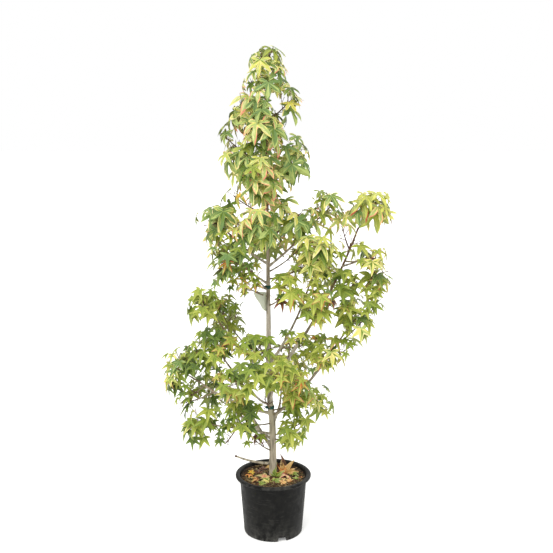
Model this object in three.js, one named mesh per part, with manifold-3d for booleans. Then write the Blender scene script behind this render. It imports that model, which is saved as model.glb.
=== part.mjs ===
// A young variegated sweetgum (Liquidambar styraciflua) in a black nursery pot.
//
// Millimetres, +Z up. The origin is the middle of the pot's underside, on the ground, and -Y is
// the tree's front. The pot and its soil carry one upright trunk. Tapering boughs leave the trunk,
// and each ends where it enters a mass of foliage: one stem, a few side twigs that branch from it
// by a seeded rule, and five-lobed leaves on stalks.

import * as THREE from "three";
import { mergeVertices } from "three/addons/utils/BufferGeometryUtils.js";
import Module from "manifold-3d";

const wasm = await Module();
wasm.setup();

// ---------------------------------------------------------------- driving sizes

const { degToRad } = THREE.MathUtils;
const FULL_TURN = 2 * Math.PI;
const GOLDEN_ANGLE = Math.PI * (3 - Math.sqrt(5));
const UP = new THREE.Vector3(0, 0, 1);
const ACROSS = new THREE.Vector3(1, 0, 0);

const CLEARANCE = 0.3; // between pieces that touch
const CUT_ROOM = 0.4; // what a piece that is cut by a limb keeps off it
const FLATNESS = 0.02; // faces of a mass that are this close to one plane are joined

const POT = {
  height: 270,
  footRadius: 131.5,
  topRadius: 149, // of the wall, just under the rim
  rimRadius: 170,
  rimDrop: 13, // how far the rim's skirt hangs down
  rimBevel: { outer: 4, inner: 1, height: 3 },
  wall: 3,
  baseLift: 20, // the base stands this far above the ground
  baseThickness: 4,
  footWidth: 5,
  centrePadRadius: 32,
  notches: 3,
  notchTurn: degToRad(-72), // the first notch, from +X
  notchHeight: 17,
  notchTopWidth: 33,
  notchFootWidth: 43,
  segments: 32,
};

// Dried soil has drawn back from the wall.
const SOIL = { edgeLevel: 243, middleLevel: 250, wallGap: 1.2 };

const TRUNK = {
  foot: new THREE.Vector3(-1, 22, SOIL.middleLevel + CLEARANCE),
  topLevel: 1930,
  lean: new THREE.Vector3(-12, -14, 0),
  kink: 14, // a sideways step at the lowest whorl of boughs
  kinkFrom: 0.13,
  kinkTo: 0.25,
  tipRadius: 2.2,
  footRadius: 15.6,
  taperPower: 1.12,
  flare: 2.6,
  flareLength: 22,
  sides: 8,
  steps: 24,
};

// A bough: its parent limb (the trunk where none is given), the level where it leaves the parent,
// its tip, how far its middle bows from a straight line, and its radius at the root and at the tip.
const BOUGHS = [
  { name: "snag", level: 306, tip: [-168, -45, 369], bow: [-10, 0, -16], radii: [4.2, 2] },
  { name: "left_mid", level: 378, tip: [-186, -28, 770], bow: [-34, 34, -22], radii: [6.6, 3.2] },
  { name: "left_low", level: 445, tip: [-222, -84, 520], bow: [0, -16, 14], radii: [4.4, 2.6] },
  { name: "left_outer", level: 545, tip: [-322, -26, 704], bow: [-10, -26, -34], radii: [5.4, 2.8] },
  { name: "left_high", level: 722, tip: [-236, 0, 968], bow: [-16, 0, -12], radii: [4.6, 2.6] },
  { name: "shoulder_left_low", level: 1138, tip: [-128, -22, 1226], bow: [-6, 0, -6], radii: [3.8, 2.4] },
  { name: "shoulder_left", level: 1226, tip: [-176, 0, 1350], bow: [-16, 0, -10], radii: [3.8, 2.4] },
  { name: "right_mid", level: 524, tip: [290, 0, 886], bow: [26, 0, -30], radii: [6, 2.8] },
  { name: "right_main", level: 692, tip: [366, 0, 1384], bow: [56, 0, -44], radii: [6.6, 2.6] },
  { name: "right_high", level: 1214, tip: [166, 28, 1392], bow: [6, 0, -14], radii: [4, 2.4] },
  { name: "right_back", level: 770, tip: [158, 146, 1090], bow: [26, 26, -24], radii: [5, 2.6] },
  { name: "left_back_high", level: 650, tip: [-138, 132, 846], bow: [-20, 20, -16], radii: [4.8, 2.6] },
  { name: "left_back_low", level: 420, tip: [-172, 142, 512], bow: [-20, 20, -8], radii: [4.6, 2.6] },
  { name: "centre_back", level: 486, tip: [34, 134, 572], bow: [6, 16, -12], radii: [4.6, 2.8] },
  { name: "centre_front", level: 606, tip: [2, -146, 722], bow: [0, -22, -16], radii: [4.6, 2.6] },
  { name: "left_front", level: 584, tip: [-90, -124, 696], bow: [-12, -16, -12], radii: [4.4, 2.6] },
  {
    name: "right_outer",
    on: "right_main",
    level: 1218,
    tip: [392, -12, 1256],
    bow: [0, -4, -6],
    radii: [3, 2.4],
  },
];
const BOUGH_SIDES = 5;
const BOUGH_STEPS = 6;

// A mass of foliage: the limb that its stem leaves (the trunk where none is given), the level where
// it does (the limb's own tip where none is given), the middle of its space and its half-sizes.
const MASSES = [
  { name: "tip", overshoot: 0.75, centre: [-20, 0, 2014], half: [90, 88, 128] },
  { name: "top_right", level: 1838, centre: [55, -20, 1897], half: [71, 84, 88] },
  { name: "top_left", level: 1775, centre: [-129, -10, 1870], half: [80, 88, 109] },
  { name: "column_front_high", level: 1690, centre: [-34, -100, 1808], half: [90, 80, 94] },
  { name: "column_left", level: 1560, centre: [-150, -10, 1683], half: [82, 92, 127] },
  { name: "column_right", level: 1580, centre: [83, 0, 1662], half: [85, 90, 119] },
  { name: "column_front_low", level: 1500, centre: [-51, -110, 1587], half: [95, 86, 107] },
  { name: "column_back_high", level: 1700, centre: [-44, 110, 1832], half: [93, 84, 113] },
  { name: "column_back_low", level: 1470, centre: [-14, 130, 1577], half: [106, 92, 119] },
  { name: "shoulder_left", on: "shoulder_left", centre: [-237, -20, 1391], half: [98, 94, 98] },
  { name: "shoulder_left_low", on: "shoulder_left_low", centre: [-186, -50, 1232], half: [111, 96, 103] },
  { name: "shoulder_front", level: 1310, centre: [-63, -160, 1395], half: [107, 88, 107] },
  { name: "shoulder_back", level: 1280, centre: [-37, 170, 1310], half: [135, 98, 135] },
  { name: "shoulder_right", level: 1340, centre: [99, -20, 1427], half: [92, 90, 98] },
  { name: "right_high", on: "right_high", centre: [231, 40, 1445], half: [100, 94, 100] },
  { name: "right_top", on: "right_main", centre: [424, 0, 1458], half: [105, 94, 96] },
  { name: "right_outer", on: "right_outer", centre: [434, -20, 1185], half: [106, 94, 119] },
  { name: "right_inner", on: "right_main", level: 1000, centre: [194, -80, 1263], half: [104, 90, 104] },
  { name: "right_back", on: "right_back", centre: [191, 190, 1146], half: [139, 102, 139] },
  { name: "right_low_outer", on: "right_mid", centre: [353, 0, 957], half: [105, 94, 132] },
  { name: "right_low_mid", on: "right_main", level: 900, centre: [191, -110, 1048], half: [93, 88, 106] },
  { name: "centre_right", level: 1040, centre: [59, -120, 1120], half: [86, 84, 105] },
  { name: "right_low", on: "right_mid", level: 690, centre: [225, -30, 827], half: [107, 90, 103] },
  { name: "left_high", on: "left_high", centre: [-300, 0, 1030], half: [101, 92, 105] },
  { name: "left_back_high", on: "left_back_high", centre: [-222, 170, 928], half: [131, 98, 119] },
  { name: "left_mid", on: "left_mid", centre: [-246, -60, 858], half: [115, 92, 98] },
  { name: "left_outer", on: "left_outer", centre: [-404, 0, 732], half: [104, 98, 129] },
  { name: "left_front", on: "left_front", centre: [-151, -190, 745], half: [112, 88, 103] },
  { name: "left_low", on: "left_low", centre: [-319, -50, 515], half: [104, 92, 124] },
  { name: "left_low_inner", level: 500, centre: [-141, -110, 537], half: [93, 84, 122] },
  { name: "left_low_back", on: "left_back_low", centre: [-283, 160, 573], half: [130, 94, 123] },
  { name: "centre_front", on: "centre_front", centre: [14, -200, 776], half: [96, 88, 94] },
  { name: "centre_front_high", level: 790, centre: [-53, -140, 887], half: [95, 82, 89] },
  { name: "right_low_front", level: 538, centre: [107, -130, 682], half: [94, 88, 105] },
  { name: "right_low_side", on: "right_mid", level: 562, centre: [201, 20, 593], half: [83, 88, 110] },
  { name: "centre_back", on: "centre_back", centre: [43, 180, 687], half: [144, 98, 144] },
  { name: "low_right_tuft", level: 420, centre: [82, -40, 458], half: [78, 74, 91] },
];
const BEHIND = 100; // a mass whose middle has a larger Y is behind the trunk

// The seeded rule. Every mass has this many streams of random numbers: one for the twigs, and one
// for each leaf.
const SEED = 7032;
const STREAMS_PER_MASS = 64;

const STEM = {
  radii: [3.3, 2.7],
  steps: 2,
  rise: 0.1, // it aims this far above the middle of the mass, as a share of the half-height
  overshoot: 0.25, // and runs this far past that
  sag: 0.12, // of its length, where it leaves the side of a limb
  fromTip: 0.99, // it leaves a bough's tip this far along the bough
};

const TWIG = {
  count: 3,
  radii: [1.25, 1.6], // the thin end is inside the stem
  from: [0.5, 0.86], // the stretch of the stem that the twigs leave
  spread: degToRad(58), // off the stem
  rise: 0.2, // how far it turns up
  reach: 0.55, // its length, as a share of the half-size
  reachRange: [0.8, 1.15],
  checkedAt: [0.35, 0.5, 0.65, 0.8, 0.9, 1],
};

const LEAF = {
  count: 12, // in a mass whose half-sizes are all fullHalf; others in proportion to their outline
  countBehind: 7.5,
  fullHalf: 104,
  tries: 200,
  fromStem: [0.62, 1], // where along the stem its stalk may leave
  fromTwig: [0.4, 1], // and along a side twig
  turnRange: 1.5,
  stalk: [26, 70],
  stalkForward: [0.2, 0.9], // how far it leans along the twig
  stalkRise: 0.2,
  stalkSideways: 0.7, // the most that it may come in from the blade's side
  stalkRadius: 1.4,
  stalkRootRadius: 0.7, // inside the twig
  stalkCheckedAt: [0.3, 0.5, 0.7, 0.88],
  blade: [60, 88], // from the stalk to the middle lobe's tip
  droop: [0.12, 0.4],
  pitch: [26, 78].map(degToRad),
  roll: degToRad(24),
  wander: 0.6, // how far it turns from facing outwards
  followStalk: 0.6, // how far it turns with its stalk
  light: new THREE.Vector3(0, -1, 0), // where it turns to, except behind the trunk
  border: 0.4, // how far it may reach past the middle between two masses
  offPot: 14,
};

// What makes a place good for a leaf: room round its blade, and a place near the edge of the mass.
const PLACE = { mostRoom: 120, depthShare: 0.4, edge: 30 };

// The blade, in shares of its length: each lobe's direction and length, then the notches between
// the lobes.
const LOBES = [
  { turn: 108, reach: 0.62 },
  { turn: 53, reach: 0.93 },
  { turn: 0, reach: 1 },
  { turn: -53, reach: 0.93 },
  { turn: -108, reach: 0.62 },
].map(({ turn, reach }) => ({ turn: degToRad(turn), reach }));
const NOTCH_REACH = [0.33, 0.42, 0.42, 0.33];
const BLADE = { halfThickness: 0.013, thickest: 0.08, heel: -0.03, middle: 0.45 };

// Points along a lobe and on both its sides, as shares of its length and of the blade's.
const LOBE_SAMPLES = [
  [0.22, 0],
  [0.42, 0],
  [0.62, 0],
  [0.81, 0],
  [0.4, 0.13],
  [0.4, -0.13],
  [0.6, 0.094],
  [0.6, -0.094],
];

// The least gap from a sample point of a twig, blade or stalk to what is there already. Where none
// is named, there is no limit.
const GAPS = {
  twig: { limb: 6, twig: 6 },
  blade: { limb: 7, twig: 6, blade: 10.5, stalk: 10.5 },
  stalk: { limb: 5, twig: 6, blade: 9, stalk: 6 },
};
const GAPS_IN_MASS = {
  twig: {},
  blade: { twig: 6, blade: 9, stalk: 9 },
  stalk: {},
};

const TIES = [
  { name: "tie_lower", level: 575 },
  { name: "tie_upper", level: 1124 },
];
const TIE = { height: 15, thickness: 1.6, segments: 12 };

// A folded tag that hangs at the upper tie, on the trunk's left.
const LABEL = {
  width: 46, // of each side of the fold
  height: 84,
  thickness: 1.2,
  level: 1102, // of its top edge
  turn: degToRad(24),
  fold: degToRad(34), // each side, off the middle of the fold
};

const VARIEGATED_ABOVE = 1300; // the masses above this level have cream-edged leaves
const MATERIALS = {
  pot: { color: 0x2a2a28, roughness: 0.6 },
  soil: { color: 0x4a3c2a, roughness: 1 },
  bark: { color: 0x8f8870, roughness: 0.85 },
  upperLeaf: { color: 0xb4b46a, roughness: 0.5 },
  lowerLeaf: { color: 0x8a9a48, roughness: 0.5 },
  tie: { color: 0x1d4a42, roughness: 0.6 },
  label: { color: 0xd9dbd6, roughness: 0.4 },
};

// ---------------------------------------------------------------- small helpers

// A stream of numbers from 0 to 1 that is the same for the same seed (mulberry32).
function randomStream(seed) {
  let state = seed >>> 0;
  return () => {
    state = (state + 0x6d2b79f5) >>> 0;
    let t = Math.imul(state ^ (state >>> 15), state | 1);
    t ^= t + Math.imul(t ^ (t >>> 7), t | 61);
    return ((t ^ (t >>> 14)) >>> 0) / 2 ** 32;
  };
}

const between = ([low, high], share) => low + (high - low) * share;
const vector = ([x, y, z]) => new THREE.Vector3(x, y, z);
const held = (t) => Math.min(1, Math.max(0, t));
const smooth = (t) => t * t * (3 - 2 * t);

// Two unit vectors square to a direction.
function squareTo(direction) {
  const helper = Math.abs(direction.z) > 0.9 ? ACROSS : UP;
  const side = new THREE.Vector3().crossVectors(direction, helper).normalize();
  return [side, new THREE.Vector3().crossVectors(side, direction)];
}

function solidFromGeometry(geometry) {
  const bare = geometry.clone();
  bare.deleteAttribute("normal");
  bare.deleteAttribute("uv");
  const merged = mergeVertices(bare, 1e-4);
  return new wasm.Manifold(
    new wasm.Mesh({
      numProp: 3,
      vertProperties: new Float32Array(merged.attributes.position.array),
      triVerts: new Uint32Array(merged.index.array),
    }),
  );
}

function geometryFromSolid(solid) {
  const mesh = solid.getMesh();
  const points = new Float32Array(mesh.numVert * 3);
  for (let i = 0; i < mesh.numVert; i++) {
    points.set(mesh.vertProperties.subarray(i * mesh.numProp, i * mesh.numProp + 3), i * 3);
  }
  const geometry = new THREE.BufferGeometry();
  geometry.setAttribute("position", new THREE.BufferAttribute(points, 3));
  geometry.setIndex(new THREE.BufferAttribute(new Uint32Array(mesh.triVerts), 1));
  return geometry;
}

// A closed solid from corner points and triangles, turned face outwards if it isn't.
function solidFromCorners(corners, triangles) {
  const positions = corners.flatMap(({ x, y, z }) => [x, y, z]);
  const build = (faces) => {
    const geometry = new THREE.BufferGeometry();
    geometry.setAttribute("position", new THREE.Float32BufferAttribute(positions, 3));
    geometry.setIndex(faces.flat());
    return solidFromGeometry(geometry);
  };
  const solid = build(triangles);
  return solid.volume() > 0 ? solid : build(triangles.map(([a, b, c]) => [a, c, b]));
}

// The largest of a solid's separate bodies.
function largestBody(solid) {
  return solid.decompose().reduce((best, body) => (body.volume() > best.volume() ? body : best));
}

function named(name, solid, { color, roughness }) {
  const material = new THREE.MeshStandardMaterial({ color, roughness, metalness: 0 });
  const mesh = new THREE.Mesh(geometryFromSolid(solid), material);
  mesh.name = name;
  return mesh;
}

// ---------------------------------------------------------------- limbs

// A limb is { at(t), radius(t) } for t from 0 at its root to 1 at its tip. This is the way it runs.
function headingAt(limb, t) {
  const step = 0.01;
  return limb.at(Math.min(1, t + step)).sub(limb.at(Math.max(0, t - step))).normalize();
}

// A level limb's rings lie flat. The extra widens the tube and carries it that much past both ends.
function tube(limb, sides, steps, extra = 0) {
  const corners = [];
  const triangles = [];
  for (let i = 0; i <= steps; i++) {
    const t = i / steps;
    const middle = limb.at(t);
    const heading = limb.level ? UP : headingAt(limb, t);
    const [side, over] = squareTo(heading);
    const radius = limb.radius(t) + extra;
    if (i === 0) middle.addScaledVector(heading, -extra);
    if (i === steps) middle.addScaledVector(heading, extra);
    for (let k = 0; k < sides; k++) {
      const turn = (FULL_TURN * k) / sides;
      const corner = middle.clone().addScaledVector(side, radius * Math.cos(turn));
      corners.push(corner.addScaledVector(over, radius * Math.sin(turn)));
    }
  }
  for (let i = 0; i < steps; i++) {
    for (let k = 0; k < sides; k++) {
      const a = i * sides + k;
      const b = i * sides + ((k + 1) % sides);
      triangles.push([a, b, b + sides], [a, b + sides, a + sides]);
    }
  }
  const last = steps * sides;
  for (let k = 1; k < sides - 1; k++) {
    triangles.push([0, k + 1, k], [last, last + k, last + k + 1]);
  }
  return solidFromCorners(corners, triangles);
}

// A limb between two points whose middle bows off the straight line, in straight steps.
function bowedLimb(root, tip, bow, radii, steps) {
  const middle = root.clone().add(tip).multiplyScalar(0.5).add(bow);
  const points = new THREE.QuadraticBezierCurve3(root, middle, tip).getPoints(steps);
  const at = (t) => {
    const step = Math.min(steps - 1, Math.floor(held(t) * steps));
    return points[step].clone().lerp(points[step + 1], held(t) * steps - step);
  };
  return { at, radius: (t) => between(radii, t) };
}

const trunkHeight = TRUNK.topLevel - TRUNK.foot.z;
const trunk = {
  level: true,
  at: (t) => {
    const kink = TRUNK.kink * smooth(held((t - TRUNK.kinkFrom) / (TRUNK.kinkTo - TRUNK.kinkFrom)));
    const climb = new THREE.Vector3(-kink, 0, trunkHeight * t);
    return TRUNK.foot.clone().addScaledVector(TRUNK.lean, t).add(climb);
  },
  radius: (t) => {
    const taper = (TRUNK.footRadius - TRUNK.tipRadius) * (1 - t) ** TRUNK.taperPower;
    return TRUNK.tipRadius + taper + TRUNK.flare * Math.exp((-t * trunkHeight) / TRUNK.flareLength);
  },
};

// How far along a rising limb a level lies, by halving.
function alongAt(limb, level) {
  let [low, high] = [0, 1];
  while (high - low > 1e-9) {
    const middle = (low + high) / 2;
    if (limb.at(middle).z < level) low = middle;
    else high = middle;
  }
  return (low + high) / 2;
}

const limbs = new Map([["trunk", trunk]]);
for (const { name, on = "trunk", level, tip, bow, radii } of BOUGHS) {
  const root = limbs.get(on).at(alongAt(limbs.get(on), level));
  limbs.set(name, bowedLimb(root, vector(tip), vector(bow), radii, BOUGH_STEPS));
}

// A limb, widened by CUT_ROOM, that cuts what grows out of it or is tied to it.
const cutters = new Map();
function cutterFor(name) {
  const [sides, steps] = name === "trunk" ? [TRUNK.sides, TRUNK.steps] : [BOUGH_SIDES, BOUGH_STEPS];
  if (!cutters.has(name)) cutters.set(name, tube(limbs.get(name), sides, steps, CUT_ROOM));
  return cutters.get(name);
}

// ---------------------------------------------------------------- what is taken

// Points with a radius, in a grid of cells, for the question "is anything too near?".
class Taken {
  cell = 40; // more than the widest limb and gap together
  cells = new Map();

  key(x, y, z) {
    return [x, y, z].map((value) => Math.floor(value / this.cell)).join();
  }

  add(point, radius, kind, owner) {
    const key = this.key(point.x, point.y, point.z);
    if (!this.cells.has(key)) this.cells.set(key, []);
    this.cells.get(key).push({ point, radius, kind, owner });
  }

  // Whether a point of that kind, in that mass, is nearer to a taken one than their gap.
  crowds(point, kind, owner) {
    const steps = [-this.cell, 0, this.cell];
    for (const x of steps) {
      for (const y of steps) {
        for (const z of steps) {
          const others = this.cells.get(this.key(point.x + x, point.y + y, point.z + z)) ?? [];
          if (others.some((other) => this.tooNear(point, kind, owner, other))) return true;
        }
      }
    }
    return false;
  }

  tooNear(point, kind, owner, other) {
    const gap = (other.owner === owner ? GAPS_IN_MASS : GAPS)[kind][other.kind];
    return gap !== undefined && point.distanceTo(other.point) < gap + other.radius;
  }
}

const taken = new Taken();
function takeLimb(limb, kind, owner) {
  const spacing = 5;
  const count = Math.ceil(limb.at(0).distanceTo(limb.at(1)) / spacing);
  for (let i = 0; i <= count; i++) {
    taken.add(limb.at(i / count), limb.radius(i / count), kind, owner);
  }
}

// ---------------------------------------------------------------- twigs

// The stem of a mass, from its limb to just past the middle of the mass.
function growStem({ on, level, overshoot = STEM.overshoot, middle, reach }) {
  const carrier = limbs.get(on);
  const fromSide = level !== undefined;
  const root = carrier.at(fromSide ? alongAt(carrier, level) : STEM.fromTip);
  const aim = middle.clone().addScaledVector(UP, STEM.rise * reach.z);
  const run = aim.clone().sub(root);
  const tip = aim.clone().addScaledVector(run.clone().normalize(), overshoot * reach.z);
  const bow = UP.clone().multiplyScalar(fromSide ? -STEM.sag * run.length() : 0);
  return bowedLimb(root, tip, bow, STEM.radii, STEM.steps);
}

// One of the side twigs, which turn round the stem by the golden angle.
function growTwig({ reach }, stem, k, phase, draw) {
  const root = stem.at(between(TWIG.from, k / (TWIG.count - 1)));
  const forward = headingAt(stem, 1);
  const [side, over] = squareTo(forward);
  const turn = phase + k * GOLDEN_ANGLE;
  const across = side.multiplyScalar(Math.cos(turn)).addScaledVector(over, Math.sin(turn));
  const heading = forward.multiplyScalar(Math.cos(TWIG.spread));
  heading.addScaledVector(across, Math.sin(TWIG.spread)).addScaledVector(UP, TWIG.rise).normalize();
  const length = TWIG.reach * between(TWIG.reachRange, draw());
  const tip = root.clone().addScaledVector(heading.multiply(reach), length);
  return bowedLimb(root, tip, new THREE.Vector3(), TWIG.radii, 1);
}

// A side twig that would touch a limb or another mass's twig is skipped.
function growTwigs(mass, index) {
  const draw = randomStream(SEED + index * STREAMS_PER_MASS);
  const stem = growStem(mass);
  const phase = draw() * FULL_TURN;
  const twigs = [];
  for (let k = 0; k < TWIG.count; k++) {
    const twig = growTwig(mass, stem, k, phase, draw);
    if (!TWIG.checkedAt.some((t) => taken.crowds(twig.at(t), "twig", mass.name))) twigs.push(twig);
  }
  return [stem, ...twigs];
}

// ---------------------------------------------------------------- leaves

// A place on a blade whose stalk is at the origin and whose middle lobe lies along x.
const onBlade = (turn, along, across = 0) => [
  along * Math.cos(turn) - across * Math.sin(turn),
  along * Math.sin(turn) + across * Math.cos(turn),
];

// The blade's outline, from lobe to notch to lobe.
const OUTLINE = LOBES.flatMap(({ turn, reach }, i) => {
  const tip = onBlade(turn, reach);
  if (i === NOTCH_REACH.length) return [tip];
  return [tip, onBlade((turn + LOBES[i + 1].turn) / 2, NOTCH_REACH[i])];
});

// The places that stand for a blade in the tests of room.
const BLADE_SAMPLES = [
  [0, 0],
  ...OUTLINE,
  ...LOBES.flatMap(({ turn, reach }) =>
    LOBE_SAMPLES.map(([along, across]) => onBlade(turn, along * reach, across)),
  ),
];

// A place on a leaf's blade, or above it, which droops away from the stalk.
function bladePoint(leaf, [x, y], lift = 0) {
  const drop = leaf.droop * (x * x + y * y);
  return leaf.base
    .clone()
    .addScaledVector(leaf.forward, x * leaf.length)
    .addScaledVector(leaf.across, y * leaf.length)
    .addScaledVector(leaf.normal, (lift - drop) * leaf.length);
}

const stalkPoint = (leaf, t) => leaf.root.clone().lerp(leaf.base, t);

// One try at a leaf: where its stalk leaves the stem or a twig, where its blade hangs and how it
// faces.
function proposeLeaf(mass, twigs, slot, draw) {
  const number = Math.floor(draw() * twigs.length);
  const twig = twigs[number];
  const share = between(number === 0 ? LEAF.fromStem : LEAF.fromTwig, draw());
  const root = twig.at(share);
  const along = headingAt(twig, share);
  const [side, over] = squareTo(along);
  const turn = slot * GOLDEN_ANGLE + draw() * LEAF.turnRange;
  const stalk = side.multiplyScalar(Math.cos(turn)).addScaledVector(over, Math.sin(turn));
  stalk.addScaledVector(along, between(LEAF.stalkForward, draw()));
  stalk.addScaledVector(UP, LEAF.stalkRise).normalize();
  const base = root.clone().addScaledVector(stalk, between(LEAF.stalk, draw()));

  const axis = trunk.at(held((base.z - TRUNK.foot.z) / trunkHeight));
  const wander = draw() * FULL_TURN;
  const facing = base
    .clone()
    .sub(axis)
    .setZ(0)
    .normalize()
    .addScaledVector(LEAF.light, mass.middle.y > BEHIND ? 0 : 1)
    .addScaledVector(new THREE.Vector3(Math.cos(wander), Math.sin(wander), 0), LEAF.wander)
    .addScaledVector(stalk, LEAF.followStalk)
    .setZ(0)
    .normalize();
  const pitch = between(LEAF.pitch, draw());
  const forward = facing.clone().multiplyScalar(Math.cos(pitch)).addScaledVector(UP, -Math.sin(pitch));
  const level = new THREE.Vector3().crossVectors(UP, facing);
  const roll = between([-LEAF.roll, LEAF.roll], draw());
  const square = new THREE.Vector3().crossVectors(forward, level);
  const across = level.multiplyScalar(Math.cos(roll)).addScaledVector(square, Math.sin(roll));
  const normal = new THREE.Vector3().crossVectors(forward, across);
  const length = between(LEAF.blade, draw());
  return { root, base, forward, across, normal, length, droop: between(LEAF.droop, draw()) };
}

// How far a point lies from the middle of a mass: 1 is the surface of its space, an ellipsoid with
// full corners.
function depthIn(mass, point) {
  const { x, y, z } = point.clone().sub(mass.middle).divide(mass.reach);
  return Math.cbrt(Math.abs(x) ** 3 + Math.abs(y) ** 3 + Math.abs(z) ** 3);
}

// Whether a leaf stays in the space of its mass, off the pot and clear of everything else.
function fits(leaf, mass) {
  const stalkWay = leaf.base.clone().sub(leaf.root).normalize();
  if (Math.abs(stalkWay.dot(leaf.across)) > LEAF.stalkSideways) return false;
  const points = BLADE_SAMPLES.map((place) => bladePoint(leaf, place));
  const outside = (point) => {
    const own = depthIn(mass, point);
    return own > 1 || mass.neighbours.some((other) => depthIn(other, point) < own - LEAF.border);
  };
  const overPot = ({ x, y, z }) =>
    z < POT.height + LEAF.offPot && Math.hypot(x, y) < POT.rimRadius + LEAF.offPot;
  if (points.some((point) => outside(point) || overPot(point))) return false;
  if (points.some((point) => taken.crowds(point, "blade", mass.name))) return false;
  return !LEAF.stalkCheckedAt.some((t) => taken.crowds(stalkPoint(leaf, t), "stalk", mass.name));
}

function worth(leaf, mass, middles) {
  const middle = bladePoint(leaf, [BLADE.middle, 0]);
  const room = middles.map((other) => {
    const step = middle.clone().sub(other);
    return Math.hypot(step.x, step.y * PLACE.depthShare, step.z);
  });
  return Math.min(PLACE.mostRoom, ...room) + PLACE.edge * depthIn(mass, bladePoint(leaf, [1, 0]));
}

// How many leaves a mass asks for, by the outline of its space.
function leafCount({ middle, reach }) {
  const outline = (reach.x * reach.z) / LEAF.fullHalf ** 2;
  return Math.round(outline * (middle.y > BEHIND ? LEAF.countBehind : LEAF.count));
}

// The best of the tries that fit, if one does.
function bestLeaf(mass, index, twigs, slot, middles) {
  const draw = randomStream(SEED + index * STREAMS_PER_MASS + slot + 1);
  const tries = Array.from({ length: LEAF.tries }, () => proposeLeaf(mass, twigs, slot, draw));
  const fitting = tries.filter((leaf) => fits(leaf, mass));
  const worths = fitting.map((leaf) => worth(leaf, mass, middles));
  return fitting[worths.indexOf(Math.max(...worths))];
}

// The blade and its stalk as one closed solid: a star of lobes round the stalk, thick in the
// middle, and a three-sided stalk down to the middle of its twig.
function leafSolid(leaf) {
  const heel = bladePoint(leaf, [BLADE.heel, 0]);
  const stalkWay = leaf.root.clone().sub(heel).normalize();
  const keelWay = new THREE.Vector3().crossVectors(leaf.across, stalkWay).normalize();
  const ring = (middle, radius) => [
    middle.clone().addScaledVector(leaf.across, radius),
    middle.clone().addScaledVector(leaf.across, -radius),
    middle.clone().addScaledVector(keelWay, -1.6 * radius),
  ];
  const rootMiddle = leaf.root.clone().addScaledVector(keelWay, LEAF.stalkRootRadius / 2);
  const corners = [
    bladePoint(leaf, [BLADE.thickest, 0], BLADE.halfThickness),
    bladePoint(leaf, [BLADE.thickest, 0], -BLADE.halfThickness),
    ...ring(heel, LEAF.stalkRadius),
    ...ring(rootMiddle, LEAF.stalkRootRadius),
    ...OUTLINE.map((place) => bladePoint(leaf, place)),
  ];
  const [top, under, left, right, keel, leftRoot, rightRoot, keelRoot, firstTip] = corners.keys();
  const outline = [left, ...OUTLINE.map((_, i) => firstTip + i), right];
  const triangles = [
    [top, right, left],
    [under, left, keel],
    [under, keel, right],
    [left, right, rightRoot],
    [left, rightRoot, leftRoot],
    [right, keel, keelRoot],
    [right, keelRoot, rightRoot],
    [keel, left, leftRoot],
    [keel, leftRoot, keelRoot],
    [leftRoot, rightRoot, keelRoot],
  ];
  for (let i = 0; i + 1 < outline.length; i++) {
    triangles.push([top, outline[i], outline[i + 1]], [under, outline[i + 1], outline[i]]);
  }
  return solidFromCorners(corners, triangles);
}

// ---------------------------------------------------------------- the masses

// The twigs of every mass come first, then the leaves, one for each mass in turn, so that no mass
// crowds out another.
function growMasses() {
  const masses = MASSES.map(({ on = "trunk", centre, half, ...rest }) => ({
    ...rest,
    on,
    middle: vector(centre),
    reach: vector(half),
    leaves: [],
  }));
  for (const mass of masses) {
    const near = ({ middle, reach }) =>
      middle.distanceTo(mass.middle) < reach.length() + mass.reach.length();
    mass.neighbours = masses.filter((other) => other !== mass && near(other));
  }
  for (const limb of limbs.values()) takeLimb(limb, "limb");
  masses.forEach((mass, index) => {
    mass.twigs = growTwigs(mass, index);
    for (const twig of mass.twigs) takeLimb(twig, "twig", mass.name);
  });

  const middles = [];
  const mostLeaves = Math.max(...masses.map(leafCount));
  for (let slot = 0; slot < mostLeaves; slot++) {
    masses.forEach((mass, index) => {
      const leaf = slot < leafCount(mass) && bestLeaf(mass, index, mass.twigs, slot, middles);
      if (!leaf) return;
      mass.leaves.push(leaf);
      middles.push(bladePoint(leaf, [BLADE.middle, 0]));
      for (const place of BLADE_SAMPLES) taken.add(bladePoint(leaf, place), 0, "blade", mass.name);
      for (const t of LEAF.stalkCheckedAt) {
        taken.add(stalkPoint(leaf, t), LEAF.stalkRadius, "stalk", mass.name);
      }
    });
  }
  return masses;
}

function massSolid({ on, twigs, leaves }) {
  const woody = twigs.map((twig, i) => tube(twig, 3, i === 0 ? STEM.steps : 1));
  const whole = wasm.Manifold.union([...woody, ...leaves.map(leafSolid)]);
  return largestBody(whole.subtract(cutterFor(on)).asOriginal().simplify(FLATNESS));
}

// ---------------------------------------------------------------- pot, soil, ties and label

function lathe(profile) {
  const points = profile.map(([radius, level]) => new THREE.Vector2(radius, level));
  return solidFromGeometry(new THREE.LatheGeometry(points, POT.segments).rotateX(Math.PI / 2));
}

// The outer radius of the pot's wall at a level.
const wallAt = (level) => POT.footRadius + ((POT.topRadius - POT.footRadius) * level) / POT.height;

// A notch in the foot ring, wider at the ground.
function makeNotchCutter(turn) {
  const past = 2; // how far it runs below the ground
  const depth = 3 * POT.footWidth;
  const shape = new THREE.Shape([
    new THREE.Vector2(-POT.notchFootWidth / 2, -past),
    new THREE.Vector2(POT.notchFootWidth / 2, -past),
    new THREE.Vector2(POT.notchTopWidth / 2, POT.notchHeight),
    new THREE.Vector2(-POT.notchTopWidth / 2, POT.notchHeight),
  ]);
  const cutter = new THREE.ExtrudeGeometry(shape, { depth, bevelEnabled: false })
    .rotateX(Math.PI / 2)
    .translate(0, POT.footRadius + POT.footWidth, 0)
    .rotateZ(turn - Math.PI / 2);
  return solidFromGeometry(cutter);
}

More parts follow.
